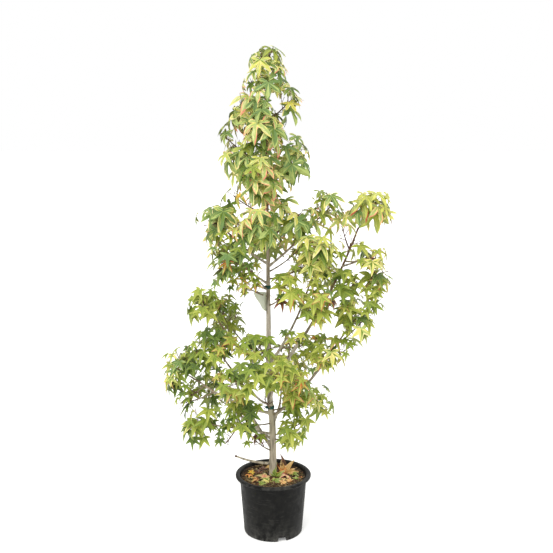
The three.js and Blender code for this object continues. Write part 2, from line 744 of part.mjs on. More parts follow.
function makePot() {
  const { height, wall, rimBevel, footRadius, footWidth, baseLift, notches } = POT;
  const skirt = height - POT.rimDrop;
  const floor = baseLift + POT.baseThickness;
  const profile = [
    [0, 0],
    [POT.centrePadRadius, 0],
    [POT.centrePadRadius, baseLift],
    [footRadius - footWidth, baseLift],
    [footRadius - footWidth, 0],
    [footRadius, 0],
    [wallAt(skirt), skirt],
    [POT.rimRadius, skirt],
    [POT.rimRadius, height - rimBevel.height],
    [POT.rimRadius - rimBevel.outer, height],
    [wallAt(height) - wall + rimBevel.inner, height],
    [wallAt(height) - wall, height - rimBevel.height],
    [wallAt(floor) - wall, floor],
    [0, floor],
  ];
  let pot = lathe(profile);
  for (let i = 0; i < notches; i++) {
    pot = pot.subtract(makeNotchCutter(POT.notchTurn + (FULL_TURN * i) / notches));
  }
  return pot;
}

function makeSoil() {
  const radiusAt = (level) => wallAt(level) - POT.wall - SOIL.wallGap;
  const bottom = POT.baseLift + POT.baseThickness + CLEARANCE;
  const edge = SOIL.edgeLevel;
  return lathe([
    [0, bottom],
    [radiusAt(bottom), bottom],
    [radiusAt(edge), edge],
    [radiusAt(edge) / 2, SOIL.middleLevel],
    [0, SOIL.middleLevel],
  ]);
}

// A band round the trunk.
function makeTie(level) {
  const along = alongAt(trunk, level);
  const middle = trunk.at(along);
  const radius = trunk.radius(along) + CLEARANCE + TIE.thickness;
  const band = new THREE.CylinderGeometry(radius, radius, TIE.height, TIE.segments)
    .rotateX(Math.PI / 2)
    .translate(middle.x, middle.y, middle.z);
  return solidFromGeometry(band).subtract(cutterFor("trunk"));
}

// The fold of the tag lies against the trunk, and both its sides spread away from it.
function makeLabel() {
  const { width, height, thickness, level, fold } = LABEL;
  const [cos, sin] = [Math.cos(fold), Math.sin(fold)];
  const [farX, farY] = [-width * cos, width * sin];
  const [insetX, insetY] = [-thickness * sin, -thickness * cos];
  const shape = new THREE.Shape([
    new THREE.Vector2(0, 0),
    new THREE.Vector2(farX, farY),
    new THREE.Vector2(farX + insetX, farY + insetY),
    new THREE.Vector2(-thickness / sin, 0),
    new THREE.Vector2(farX + insetX, -farY - insetY),
    new THREE.Vector2(farX, -farY),
  ]);
  const bottom = level - height;
  const along = alongAt(trunk, bottom);
  const { x, y } = trunk.at(along);
  const away = trunk.radius(along) + CUT_ROOM;
  const plate = new THREE.ExtrudeGeometry(shape, { depth: height, bevelEnabled: false })
    .rotateZ(LABEL.turn)
    .translate(x - away * Math.cos(LABEL.turn), y - away * Math.sin(LABEL.turn), bottom);
  return solidFromGeometry(plate).subtract(cutterFor("trunk"));
}

// ---------------------------------------------------------------- assembly

const tree = new THREE.Group();
tree.add(named("pot", makePot(), MATERIALS.pot));
tree.add(named("soil", makeSoil(), MATERIALS.soil));
tree.add(named("trunk", tube(trunk, TRUNK.sides, TRUNK.steps), MATERIALS.bark));

// A bough is cut clear of the limb that it grows out of, and what lies on the far side of the cut
// is dropped.
for (const { name, on = "trunk" } of BOUGHS) {
  const whole = tube(limbs.get(name), BOUGH_SIDES, BOUGH_STEPS);
  const clear = whole.subtract(cutterFor(on)).asOriginal().simplify(FLATNESS);
  tree.add(named(`bough_${name}`, largestBody(clear), MATERIALS.bark));
}

for (const mass of growMasses()) {
  const material = mass.middle.z > VARIEGATED_ABOVE ? MATERIALS.upperLeaf : MATERIALS.lowerLeaf;
  tree.add(named(`foliage_${mass.name}`, massSolid(mass), material));
}

for (const { name, level } of TIES) {
  tree.add(named(name, makeTie(level), MATERIALS.tie));
}
tree.add(named("label", makeLabel(), MATERIALS.label));

export default tree;
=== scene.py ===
"""A young variegated sweetgum in its nursery pot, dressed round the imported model.

The crown grows by the same seeded rule as the model's solids, and is then carried on to finer
twigs and smaller leaves. Lengths are millimetres until a mesh is made.
"""

import math

import bpy
import numpy as np
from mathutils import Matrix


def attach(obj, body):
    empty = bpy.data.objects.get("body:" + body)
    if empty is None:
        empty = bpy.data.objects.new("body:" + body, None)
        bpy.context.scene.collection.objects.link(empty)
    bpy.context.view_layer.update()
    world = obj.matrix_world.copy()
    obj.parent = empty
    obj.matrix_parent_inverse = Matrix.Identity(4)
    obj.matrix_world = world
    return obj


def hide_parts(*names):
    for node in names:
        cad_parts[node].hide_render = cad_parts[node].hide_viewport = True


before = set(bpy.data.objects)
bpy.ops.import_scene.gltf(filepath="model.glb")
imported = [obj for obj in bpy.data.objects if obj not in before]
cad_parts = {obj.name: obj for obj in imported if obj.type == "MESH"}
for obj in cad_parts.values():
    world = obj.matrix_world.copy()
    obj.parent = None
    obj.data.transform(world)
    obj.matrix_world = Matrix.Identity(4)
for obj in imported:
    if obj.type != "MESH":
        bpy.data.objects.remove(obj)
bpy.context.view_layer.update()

# ---------------------------------------------------------------- sizes

MM = 0.001
FULL_TURN = 2 * math.pi
GOLDEN_ANGLE = math.pi * (3 - math.sqrt(5))
UP = np.array([0.0, 0.0, 1.0])
ACROSS = np.array([1.0, 0.0, 0.0])
STEEP = 0.9  # the rise of a unit vector, past which it is taken as upright

POT = {
    "height": 270,
    "foot_radius": 132,
    "top_radius": 152,
    "rim_radius": 170,
    "wall": 3,
    "base_lift": 20,
    "base_thickness": 4,
    "foot_width": 5,
    "pad_radius": 32,
    "notches": 3,
    "notch_turn": math.radians(-72),
    "notch_height": 17,
    "notch_top_width": 33,
    "notch_foot_width": 43,
    "segments": 240,
}
SOIL = {"edge_level": 251, "middle_level": 253, "wall_gap": 1.2, "floor_gap": 0.5, "bank": 7}

TRUNK = {
    "foot": np.array([-1, 22, 250.3]),
    "top_level": 1930,
    "lean": np.array([-12, -14, 0]),
    "kink": 14,
    "kink_from": 0.13,
    "kink_to": 0.25,
    "tip_radius": 2.2,
    "foot_radius": 15.6,
    "taper_power": 1.12,
    "flare": 2.6,
    "flare_length": 22,
}

# Name, parent limb, level where it leaves the parent, tip, bow of its middle, radii.
BOUGHS = [
    ("snag", "trunk", 306, (-168, -45, 369), (-10, 0, -16), (4.2, 2)),
    ("left_mid", "trunk", 378, (-186, -28, 770), (-34, 34, -22), (6.6, 3.2)),
    ("left_low", "trunk", 445, (-222, -84, 520), (0, -16, 14), (4.4, 2.6)),
    ("left_outer", "trunk", 545, (-322, -26, 704), (-10, -26, -34), (5.4, 2.8)),
    ("left_high", "trunk", 722, (-236, 0, 968), (-16, 0, -12), (4.6, 2.6)),
    ("shoulder_left_low", "trunk", 1138, (-128, -22, 1226), (-6, 0, -6), (3.8, 2.4)),
    ("shoulder_left", "trunk", 1226, (-176, 0, 1350), (-16, 0, -10), (3.8, 2.4)),
    ("right_mid", "trunk", 524, (290, 0, 886), (26, 0, -30), (6, 2.8)),
    ("right_main", "trunk", 692, (366, 0, 1384), (56, 0, -44), (6.6, 2.6)),
    ("right_high", "trunk", 1214, (166, 28, 1392), (6, 0, -14), (4, 2.4)),
    ("right_back", "trunk", 770, (158, 146, 1090), (26, 26, -24), (5, 2.6)),
    ("left_back_high", "trunk", 650, (-138, 132, 846), (-20, 20, -16), (4.8, 2.6)),
    ("left_back_low", "trunk", 420, (-172, 142, 512), (-20, 20, -8), (4.6, 2.6)),
    ("centre_back", "trunk", 486, (34, 134, 572), (6, 16, -12), (4.6, 2.8)),
    ("centre_front", "trunk", 606, (2, -146, 722), (0, -22, -16), (4.6, 2.6)),
    ("left_front", "trunk", 584, (-90, -124, 696), (-12, -16, -12), (4.4, 2.6)),
    ("right_outer", "right_main", 1218, (392, -12, 1256), (0, -4, -6), (3, 2.4)),
]
BOUGH_STEPS = 6

# Name, the limb that its stem leaves, the level where it does (or None at the limb's tip), the
# middle of its space and its half-sizes.
MASSES = [
    ("tip", "trunk", None, (-20, 0, 2014), (90, 88, 128)),
    ("top_right", "trunk", 1838, (55, -20, 1897), (71, 84, 88)),
    ("top_left", "trunk", 1775, (-129, -10, 1870), (80, 88, 109)),
    ("column_front_high", "trunk", 1690, (-34, -100, 1808), (90, 80, 94)),
    ("column_left", "trunk", 1560, (-150, -10, 1683), (82, 92, 127)),
    ("column_right", "trunk", 1580, (83, 0, 1662), (85, 90, 119)),
    ("column_front_low", "trunk", 1500, (-51, -110, 1587), (95, 86, 107)),
    ("column_back_high", "trunk", 1700, (-44, 110, 1832), (93, 84, 113)),
    ("column_back_low", "trunk", 1470, (-14, 130, 1577), (106, 92, 119)),
    ("shoulder_left", "shoulder_left", None, (-237, -20, 1391), (98, 94, 98)),
    ("shoulder_left_low", "shoulder_left_low", None, (-186, -50, 1232), (111, 96, 103)),
    ("shoulder_front", "trunk", 1310, (-63, -160, 1395), (107, 88, 107)),
    ("shoulder_back", "trunk", 1280, (-37, 170, 1310), (135, 98, 135)),
    ("shoulder_right", "trunk", 1340, (99, -20, 1427), (92, 90, 98)),
    ("right_high", "right_high", None, (231, 40, 1445), (100, 94, 100)),
    ("right_top", "right_main", None, (424, 0, 1458), (105, 94, 96)),
    ("right_outer", "right_outer", None, (434, -20, 1185), (106, 94, 119)),
    ("right_inner", "right_main", 1000, (194, -80, 1263), (104, 90, 104)),
    ("right_back", "right_back", None, (191, 190, 1146), (139, 102, 139)),
    ("right_low_outer", "right_mid", None, (353, 0, 957), (105, 94, 132)),
    ("right_low_mid", "right_main", 900, (191, -110, 1048), (93, 88, 106)),
    ("centre_right", "trunk", 1040, (59, -120, 1120), (86, 84, 105)),
    ("right_low", "right_mid", 690, (225, -30, 827), (107, 90, 103)),
    ("left_high", "left_high", None, (-300, 0, 1030), (101, 92, 105)),
    ("left_back_high", "left_back_high", None, (-222, 170, 928), (131, 98, 119)),
    ("left_mid", "left_mid", None, (-246, -60, 858), (115, 92, 98)),
    ("left_outer", "left_outer", None, (-404, 0, 732), (104, 98, 129)),
    ("left_front", "left_front", None, (-151, -190, 745), (112, 88, 103)),
    ("left_low", "left_low", None, (-319, -50, 515), (104, 92, 124)),
    ("left_low_inner", "trunk", 500, (-141, -110, 537), (93, 84, 122)),
    ("left_low_back", "left_back_low", None, (-283, 160, 573), (130, 94, 123)),
    ("centre_front", "centre_front", None, (14, -200, 776), (96, 88, 94)),
    ("centre_front_high", "trunk", 790, (-53, -140, 887), (95, 82, 89)),
    ("right_low_front", "trunk", 538, (107, -130, 682), (94, 88, 105)),
    ("right_low_side", "right_mid", 562, (201, 20, 593), (83, 88, 110)),
    ("centre_back", "centre_back", None, (43, 180, 687), (144, 98, 144)),
    ("low_right_tuft", "trunk", 420, (82, -40, 458), (78, 74, 91)),
]
VARIEGATED_ABOVE = 1300
BEHIND = 100  # a mass whose middle has a larger Y is behind the trunk

# Short shoots between the masses, too slight for solids of their own, in the same form.
SHOOTS = [
    ("shoot_leader", "trunk", 1862, (-34, -40, 1936), (76, 64, 56)),
    ("shoot_column", "trunk", 1440, (-158, -30, 1516), (72, 70, 56)),
    ("shoot_tie", "trunk", 1082, (-106, -40, 1128), (84, 70, 56)),
    ("shoot_middle", "right_main", 800, (84, -50, 925), (72, 66, 58)),
    ("shoot_right", "right_main", 1240, (330, -20, 1306), (66, 60, 58)),
    ("shoot_low", "trunk", 366, (-70, -40, 428), (52, 56, 60)),
    ("shoot_left_edge", "left_outer", 690, (-356, -10, 640), (56, 56, 60)),
    ("shoot_left_gap", "left_mid", 700, (-262, -20, 768), (56, 56, 50)),
    ("shoot_hanging", "left_low", 505, (-206, -40, 430), (46, 50, 46)),
    ("shoot_lower_tie", "trunk", 566, (-34, -56, 628), (54, 54, 56)),
    ("shoot_lower_right", "trunk", 560, (66, -40, 600), (50, 54, 52)),
    ("shoot_right_rise", "right_main", 1050, (345, -40, 1140), (82, 72, 72)),
    ("shoot_centre_right", "trunk", 1160, (124, -40, 1214), (68, 62, 54)),
    ("shoot_right_foot", "trunk", 440, (130, -30, 520), (58, 54, 50)),
    ("shoot_dark", "trunk", 930, (54, -36, 985), (52, 52, 52)),
    ("shoot_leader_left", "trunk", 1880, (-84, -30, 1985), (48, 46, 48)),
    ("shoot_column_left", "trunk", 1650, (-200, -20, 1768), (46, 44, 54)),
    ("shoot_shoulder_inner", "trunk", 1110, (-88, -50, 1200), (64, 58, 50)),
    ("shoot_right_edge", "right_mid", 870, (446, -20, 1046), (62, 56, 54)),
    ("shoot_right_inner", "right_main", 1290, (300, -30, 1372), (60, 52, 48)),
    ("shoot_right_low", "right_mid", 800, (338, -30, 864), (46, 46, 46)),
    ("shoot_left_corner", "left_outer", 660, (-402, -20, 606), (50, 50, 46)),
    ("shoot_shoulder_gap", "trunk", 1290, (-164, -40, 1374), (62, 54, 52)),
    ("shoot_right_far", "right_main", 1240, (426, -56, 1256), (70, 56, 60)),
    ("shoot_back_right", "right_back", 960, (196, 84, 1000), (74, 66, 78)),
    ("shoot_back_left", "left_high", 900, (-226, 90, 1000), (74, 66, 74)),
    ("shoot_back_low", "right_back", 840, (128, 92, 836), (66, 62, 66)),
    ("shoot_back_middle", "left_back_high", 730, (-86, 104, 812), (66, 62, 66)),
    ("shoot_back_high", "trunk", 1190, (128, 100, 1286), (72, 64, 72)),
    ("shoot_back_shoulder", "trunk", 1110, (-150, 96, 1176), (70, 62, 62)),
]

SEED = 7032
STREAMS_PER_MASS = 64

STEM = {"radii": (3.3, 2.7), "steps": 2, "rise": 0.1, "sag": 0.12, "from_tip": 0.99}
OVERSHOOT = {"tip": 0.75}  # how far a stem runs past its aim, as a share of the half-height
USUAL_OVERSHOOT = 0.25

TWIG = {
    "count": 3,
    "radii": (1.25, 1.6),
    "from": (0.5, 0.86),
    "spread": math.radians(58),
    "rise": 0.2,
    "reach": 0.55,
    "reach_range": (0.8, 1.15),
    "checked_at": (0.35, 0.5, 0.65, 0.8, 0.9, 1),
    "search_reach": 400,
}

# The finer twigs, which leave the stem and the side twigs of each mass.
FINE_TWIG = {
    "on_stem": (0.34, 0.55, 0.72, 0.9, 1.0),
    "on_twig": (0.45, 0.75, 1.0),
    "radii": (1.0, 0.7),
    "spread": (math.radians(34), math.radians(62)),
    "spread_share_at_tip": 0.4,
    "rise": 0.25,
    "reach": (0.26, 0.5),
    "bow": (-0.06, 0.06),
    "steps": 3,
    "checked_at": (0.25, 0.4, 0.55, 0.7, 0.85, 1),
    "most_depth": 0.95,
    "stream": 63,
}

LEAF = {
    "count": 12,
    "count_behind": 7.5,
    "full_half": 104,
    "tries": 200,
    "from_stem": (0.62, 1),
    "from_twig": (0.4, 1),
    "turn_range": 1.5,
    "stalk": (26, 70),
    "stalk_forward": (0.2, 0.9),
    "stalk_rise": 0.2,
    "stalk_sideways": 0.7,
    "stalk_radius": 1.4,
    "stalk_checked_at": (0.3, 0.5, 0.7, 0.88),
    "blade": (60, 88),
    "droop": (0.12, 0.4),
    "pitch": (math.radians(26), math.radians(78)),
    "roll": (-math.radians(24), math.radians(24)),
    "wander": 0.6,
    "follow_stalk": 0.6,
    "border": 0.4,
    "off_pot": 14,
    "first_slot": 0,
}

# The smaller leaves that come after, on the finer twigs too.
SMALL_LEAF = {
    **LEAF,
    "count": 24,
    "count_behind": 18,
    "count_high": 13,
    "tries": 240,
    "from_stem": (0.3, 1),
    "from_twig": (0.25, 1),
    "stalk": (18, 62),
    "blade": (42, 74),
    "droop": (0.05, 0.3),
    "wander": 0.8,
    "first_slot": 20,
    "least_room": 24,
}
# The smaller leaves keep this strip in front of the trunk open.
OPEN_STRIP = {"half_width": 15, "levels": ((545, 605), (830, 1240))}
# They may stand between masses, where the depths of all of them add up to this.
SHARED_SPACE = {"power": 6, "least": 1.15, "deepest": 1.5, "least_depth": 0.1}
DRAWS_PER_LEAF = 10

# Where sky shows through or beside the crown, seen from the front: an oval on the plane of the
# trunk, with the X and Z of its middle, its half-width and its half-height.
OPENINGS = [
    ("left_of_leader", -155, 2055, 56, 51),
    ("right_of_leader", 125, 2040, 51, 60),
    ("column_left_high", -195, 1925, 51, 43),
    ("by_leader_leaf", 15, 1910, 17, 34),
    ("column_left_leaf", -145, 1770, 21, 26),
    ("column_right_high", 115, 1825, 60, 43),
    ("column_left_low", -240, 1580, 51, 60),
    ("by_golden_leaf", -135, 1475, 21, 21),
    ("column_right_foot", 45, 1535, 26, 21),
    ("under_arched_leaf", 135, 1490, 34, 17),
    ("above_shoulder_right", 265, 1600, 103, 43),
    ("above_shoulder_left", -280, 1515, 56, 39),
    ("left_of_right_top", 310, 1505, 26, 43),
    ("right_of_right_top", 575, 1470, 47, 86),
    ("under_right_top", 450, 1375, 34, 47),
    ("left_of_right_bough", 315, 1350, 21, 34),
    ("by_hanging_leaf", -300, 1385, 17, 34),
    ("under_shoulder_left", -330, 1235, 34, 47),
    ("above_left_high", -300, 1185, 43, 30),
    ("right_upper", 535, 1235, 47, 60),
    ("right_leaf_gap", 400, 1175, 26, 21),
    ("right_leaf_left", 315, 1225, 17, 21),
    ("under_first_fork", 45, 1230, 26, 17),
    ("beside_upper_tie", 115, 1155, 17, 17),
    ("left_of_label", -100, 995, 39, 64),
    ("under_label", -60, 950, 34, 34),
    ("trunk_right", 80, 990, 26, 56),
    ("by_main_bough", 120, 950, 21, 26),
    ("by_light_leaf", 255, 925, 26, 34),
    ("above_light_leaf", 280, 980, 21, 26),
    ("right_middle", 510, 955, 43, 60),
    ("right_lower", 420, 790, 51, 51),
    ("right_lower_bough", 350, 695, 60, 51),
    ("above_low_side", 195, 700, 21, 21),
    ("right_low_side", 300, 605, 39, 69),
    ("right_foot", 235, 445, 51, 51),
    ("left_high_left", -415, 1105, 56, 43),
    ("in_left_high", -285, 975, 17, 34),
    ("above_left_outer", -420, 935, 69, 51),
    ("in_left_middle", -195, 785, 21, 21),
    ("left_outer_side", -505, 575, 47, 60),
    ("in_left_low", -325, 580, 21, 34),
    ("left_low_corner", -445, 415, 56, 56),
    ("by_left_low_leaf", -295, 455, 17, 21),
    ("above_left_foot", -175, 420, 30, 34),
    ("between_low_boughs", -55, 505, 26, 34),
]
OPENING_OVALS = np.array([oval for _, *oval in OPENINGS])
SEEN_FROM = np.array([15.0, -3600.0, 1811.0])  # the camera's place
OPEN_EDGE = 3  # how far a leaf may reach into an opening
MOST_IN_OPENING = 0.2  # the share of a larger leaf, past which it isn't kept

# What makes a place good for a leaf: room round its blade, and nearness to the mass's surface.
PLACE = {"most_room": 120, "depth_share": 0.4, "edge": 30}

# The blade, in shares of its length: each lobe's direction and reach, then the notches.
LOBE_TURNS = np.radians([108, 53, 0, -53, -108])
LOBE_REACH = np.array([0.62, 0.93, 1, 0.93, 0.62])
NOTCH_REACH = np.array([0.33, 0.42, 0.42, 0.33])
BLADE_MIDDLE = np.array([[0.45, 0.0]])
BLADE_TIP = np.array([[1.0, 0.0]])
LOBE_SAMPLES = [
    (0.22, 0),
    (0.42, 0),
    (0.62, 0),
    (0.81, 0),
    (0.4, 0.13),
    (0.4, -0.13),
    (0.6, 0.094),
    (0.6, -0.094),
]

# The least gap to what is there already, by kind. None is no limit.
KINDS = ("limb", "twig", "blade", "stalk")
GAPS = {
    "twig": {"limb": 6, "twig": 6},
    "blade": {"limb": 7, "twig": 6, "blade": 10.5, "stalk": 10.5},
    "stalk": {"limb": 5, "twig": 6, "blade": 9, "stalk": 6},
}
GAPS_IN_MASS = {"twig": {}, "blade": {"twig": 6, "blade": 9, "stalk": 9}, "stalk": {}}
FINE_GAPS = {
    "twig": {"limb": 4, "twig": 4, "blade": 4, "stalk": 3},
    "blade": {"limb": 5, "twig": 3, "blade": 5, "stalk": 4},
    "stalk": {"limb": 3, "twig": 3, "blade": 4, "stalk": 3},
}
FINE_GAPS_IN_MASS = {
    "twig": {"blade": 3},
    "blade": {"limb": 5, "twig": 3, "blade": 4.5, "stalk": 3},
    "stalk": {"blade": 3},
}

TIES = {"tie_lower": 575, "tie_upper": 1124}
# Each band's outward swell from its lower edge to its upper one, and the knot's radii.
TIE = {
    "height": 15,
    "inner_gap": 0.5,
    "swell": np.array([1.2, 2.6, 3.5, 3.1, 3.7, 3.2, 3.6, 2.6, 1.2]),
    "swell_at": np.array([-1, -0.93, -0.6, -0.3, 0, 0.3, 0.6, 0.93, 1]),
    "edge": 0.6,
    "segments": 48,
    "knot": (-4.5, -3, 0),
    "knot_half_height": 7,
    "knot_radii": np.array([2, 5, 6.4, 6.8, 6.2, 4.8, 1.6]),
    "knot_sides": 14,
    "ends": ((-1, (-13, -3, -5)), (1, (-12, -6, 4))),
    "end_bend": (-4, -3, 2),
    "end_radii": (2.4, 1.7),
    "end_rings": 6,
    "end_sides": 8,
}
LABEL = {
    "width": 46,
    "height": 84,
    "thickness": 1.2,
    "level": 1102,
    "turn": math.radians(24),
    "fold": math.radians(34),
    "opening": 0.25,
    "off_trunk": 0.9,
    "rows": 30,
    "columns": 12,
    "width_shares": {1: 1.25, -1: 0.62},
    "narrowing": {1: 0.66, -1: 0.08},
    "round_end": (0.86, 0.15),
    "narrows_over": (0.1, 1),
    "round_start": (0.06, 0.07),
    "round_least": 0.05,
    "inset": 0.5,
    "wave": 2.5,
    "wave_turns": 3,
    "bulge": 1.8,
}

# ---------------------------------------------------------------- small helpers


def random_numbers(seed, count):
    """The first numbers, from 0 to 1, of the stream with that seed (mulberry32)."""
    state = np.arange(1, count + 1, dtype=np.uint32) * np.uint32(0x6D2B79F5) + np.uint32(seed)
    t = (state ^ (state >> 15)) * (state | 1)
    t ^= t + (t ^ (t >> 7)) * (t | 61)
    return (t ^ (t >> 14)) / 2**32


def between(ends, share):
    return ends[0] + (ends[1] - ends[0]) * share


def unit(vectors):
    return vectors / np.linalg.norm(vectors, axis=-1, keepdims=True)


def smooth(t):
    return t * t * (3 - 2 * t)


def smooth_step(low, high, value):
    return smooth(np.clip((value - low) / (high - low), 0, 1))


def even_turns(count):
    return FULL_TURN * np.arange(count) / count


def level_ways(turns):
    """Unit vectors on the level, at those turns."""
    return np.stack([np.cos(turns), np.sin(turns), 0 * turns], -1)


def turn_between(turns, others):
    """The least turn from one to the other, either way round."""
    return np.abs((turns - others + math.pi) % FULL_TURN - math.pi)


def square_to(directions):
    """Two unit vectors square to each direction."""
    helper = np.where(np.abs(directions[..., 2:]) > STEEP, ACROSS, UP)
    side = unit(np.cross(directions, helper))
    return side, np.cross(side, directions)


# ---------------------------------------------------------------- limbs


class Limb:
    """A limb, from t 0 at its root to 1 at its tip, in straight steps along a bowed curve."""

    def __init__(self, root, tip, bow, radii, steps):
        self.root = root
        self.tip = tip
        self.middle = (root + tip) / 2 + bow
        self.radii = radii
        self.knots = np.linspace(0, 1, steps + 1)
        self.points = self.curve(self.knots)

    def curve(self, t):
        t = np.clip(t, 0, 1)[..., None]
        return (1 - t) ** 2 * self.root + 2 * (1 - t) * t * self.middle + t**2 * self.tip

    def at(self, t):
        t = np.clip(t, 0, 1)
        return np.stack([np.interp(t, self.knots, self.points[:, k]) for k in range(3)], -1)

    def radius(self, t):
        return between(self.radii, t)


class Trunk:
    """The trunk, with the same ways of asking as a limb has."""

    height = TRUNK["top_level"] - TRUNK["foot"][2]

    def at(self, t):
        t = np.asarray(t, float)
        share = (t - TRUNK["kink_from"]) / (TRUNK["kink_to"] - TRUNK["kink_from"])
        kink = TRUNK["kink"] * smooth(np.clip(share, 0, 1))
        climb = np.stack([-kink, 0 * t, self.height * t], -1)
        return TRUNK["foot"] + TRUNK["lean"] * t[..., None] + climb

    curve = at

    def radius(self, t):
        taper = (TRUNK["foot_radius"] - TRUNK["tip_radius"]) * (1 - t) ** TRUNK["taper_power"]
        flare = TRUNK["flare"] * np.exp(-t * self.height / TRUNK["flare_length"])
        return TRUNK["tip_radius"] + taper + flare


def heading_at(limb, t):
    """The limb's direction round there."""
    step = 0.01
    return unit(limb.at(np.minimum(1, t + step)) - limb.at(np.maximum(0, t - step)))


def along_at(limb, level):
    """How far along a rising limb a level lies, by halving."""
    low, high = 0.0, 1.0
    precision = 1e-9
    while high - low > precision:
        middle = (low + high) / 2
        if limb.at(middle)[2] < level:
            low = middle
        else:
            high = middle
    return (low + high) / 2


def place_at(limb, level):
    return limb.at(along_at(limb, level))


trunk = Trunk()
limbs = {"trunk": trunk}
for name, on, level, tip, bow, radii in BOUGHS:
    root = place_at(limbs[on], level)
    limbs[name] = Limb(root, np.array(tip, float), np.array(bow, float), radii, BOUGH_STEPS)


# ---------------------------------------------------------------- what is taken


class Taken:
    """Points with a radius, a kind and an owner."""

    def __init__(self):
        self.points = np.zeros((0, 3))
        self.radii = np.zeros(0)
        self.kinds = np.zeros(0, int)
        self.owners = np.zeros(0, int)

    def add(self, points, radii, kind, owner):
        self.points = np.vstack([self.points, points])
        self.radii = np.append(self.radii, np.broadcast_to(radii, len(points)))
        self.kinds = np.append(self.kinds, np.full(len(points), KINDS.index(kind)))
        self.owners = np.append(self.owners, np.full(len(points), owner))

    def near(self, low, high, owner, gaps, gaps_in_mass):
        """What could crowd a blade, stalk or twig of that mass inside a box."""
        margin = 26
        inside = np.all((self.points > low - margin) & (self.points < high + margin), 1)
        own = self.owners[inside] == owner
        limits = {}
        for kind in gaps:
            others = np.array([gaps[kind].get(other, np.nan) for other in KINDS])
            fellows = np.array([gaps_in_mass[kind].get(other, np.nan) for other in KINDS])
            of_kind = self.kinds[inside]
            gap = np.where(own, fellows[of_kind], others[of_kind])
            limits[kind] = np.nan_to_num(gap + self.radii[inside], nan=-1)
        return Near(self.points[inside], limits)


class Near:
    """The taken points near a mass, with the least distance to each for every kind."""

    def __init__(self, points, limits):
        self.points = points
        self.limits = limits

    def crowds(self, points, kind):
        """Whether any of the points lies too close to one that is taken."""
        limits = self.limits[kind]
        margin = limits.max(initial=0)
        low, high = points.min(0) - margin, points.max(0) + margin
        close = np.all((self.points > low) & (self.points < high), 1) & (limits > 0)
        steps = points[:, None] - self.points[close][None]
        squares = np.einsum("ijk,ijk->ij", steps, steps)
        return bool(np.any(squares < limits[close] ** 2))


taken = Taken()
NOBODY = -1


def take_limb(limb, kind, owner):
    """Take the points along a limb."""
    spacing = 5
    ends = limb.at([0, 1])
    count = math.ceil(np.linalg.norm(ends[1] - ends[0]) / spacing)
    t = np.arange(count + 1) / count
    taken.add(limb.at(t), limb.radius(t), kind, owner)


# ---------------------------------------------------------------- twigs


class Mass:
    """A mass of foliage: its space, its twigs and its leaves."""

    def __init__(self, index, name, on, level, middle, reach):
        self.index = index
        self.name = name
        self.on = on
        self.level = level
        self.middle = np.array(middle, float)
        self.reach = np.array(reach, float)
        self.twigs = []
        self.fine_twigs = []
        self.leaves = []
        self.neighbours = []

    def depth(self, points):
        """1 is the surface of the space, an ellipsoid with full corners."""
        shares = np.abs((points - self.middle) / self.reach)
        return np.cbrt((shares**3).sum(-1))

    def is_near(self, other):
        gap = np.linalg.norm(other.middle - self.middle)
        return gap < np.linalg.norm(other.reach) + np.linalg.norm(self.reach)

    def stream(self, number, count):
        return random_numbers(SEED + self.index * STREAMS_PER_MASS + number, count)

    def leaf_count(self, rule):
        outline = self.reach[0] * self.reach[2] / rule["full_half"] ** 2
        share = rule["count_behind"] if self.middle[1] > BEHIND else rule["count"]
        if self.middle[2] > VARIEGATED_ABOVE:
            share = rule.get("count_high", share)
        return math.floor(outline * share + 0.5)


def grow_stem(mass):
    """The stem of a mass, which runs on past its aim in the middle of the space."""
    carrier = limbs[mass.on]
    from_side = mass.level is not None
    along = along_at(carrier, mass.level) if from_side else STEM["from_tip"]
    root = carrier.at(along)
    aim = mass.middle + UP * STEM["rise"] * mass.reach[2]
    run = aim - root
    overshoot = OVERSHOOT.get(mass.name, USUAL_OVERSHOOT)
    tip = aim + unit(run) * overshoot * mass.reach[2]
    bow = UP * (-STEM["sag"] * np.linalg.norm(run) if from_side else 0)
    return Limb(root, tip, bow, STEM["radii"], STEM["steps"])


def grow_twig(mass, stem, k, phase, draw):
    """One of the side twigs, which turn round the stem by the golden angle."""
    root = stem.at(between(TWIG["from"], k / (TWIG["count"] - 1)))
    forward = heading_at(stem, 1)
    side, over = square_to(forward)
    turn = phase + k * GOLDEN_ANGLE
    across = side * math.cos(turn) + over * math.sin(turn)
    heading = forward * math.cos(TWIG["spread"]) + across * math.sin(TWIG["spread"])
    heading = unit(heading + UP * TWIG["rise"])
    length = TWIG["reach"] * between(TWIG["reach_range"], draw)
    return Limb(root, root + heading * mass.reach * length, np.zeros(3), TWIG["radii"], 1)


def grow_twigs(mass):
    """The stem and those side twigs that find room."""
    draws = mass.stream(0, 1 + TWIG["count"])
    stem = grow_stem(mass)
    mass.twigs = [stem]
    low, high = mass.middle - TWIG["search_reach"], mass.middle + TWIG["search_reach"]
    near = taken.near(low, high, mass.index, GAPS, GAPS_IN_MASS)
    for k in range(TWIG["count"]):
        twig = grow_twig(mass, stem, k, draws[0] * FULL_TURN, draws[1 + k])
        if not near.crowds(twig.at(TWIG["checked_at"]), "twig"):
            mass.twigs.append(twig)
    for twig in mass.twigs:
        take_limb(twig, "twig", mass.index)


def in_opening(points):
    """Whether places show in an opening of the crown, seen from the front."""
    away = points - SEEN_FROM
    seen = SEEN_FROM - away * (SEEN_FROM[1] / away[..., 1])[..., None]
    across, up, half_width, half_height = OPENING_OVALS.T
    aside = (seen[..., 0, None] - across) / (half_width - OPEN_EDGE)
    above = (seen[..., 2, None] - up) / (half_height - OPEN_EDGE)
    return np.any(np.hypot(aside, above) < 1, -1)


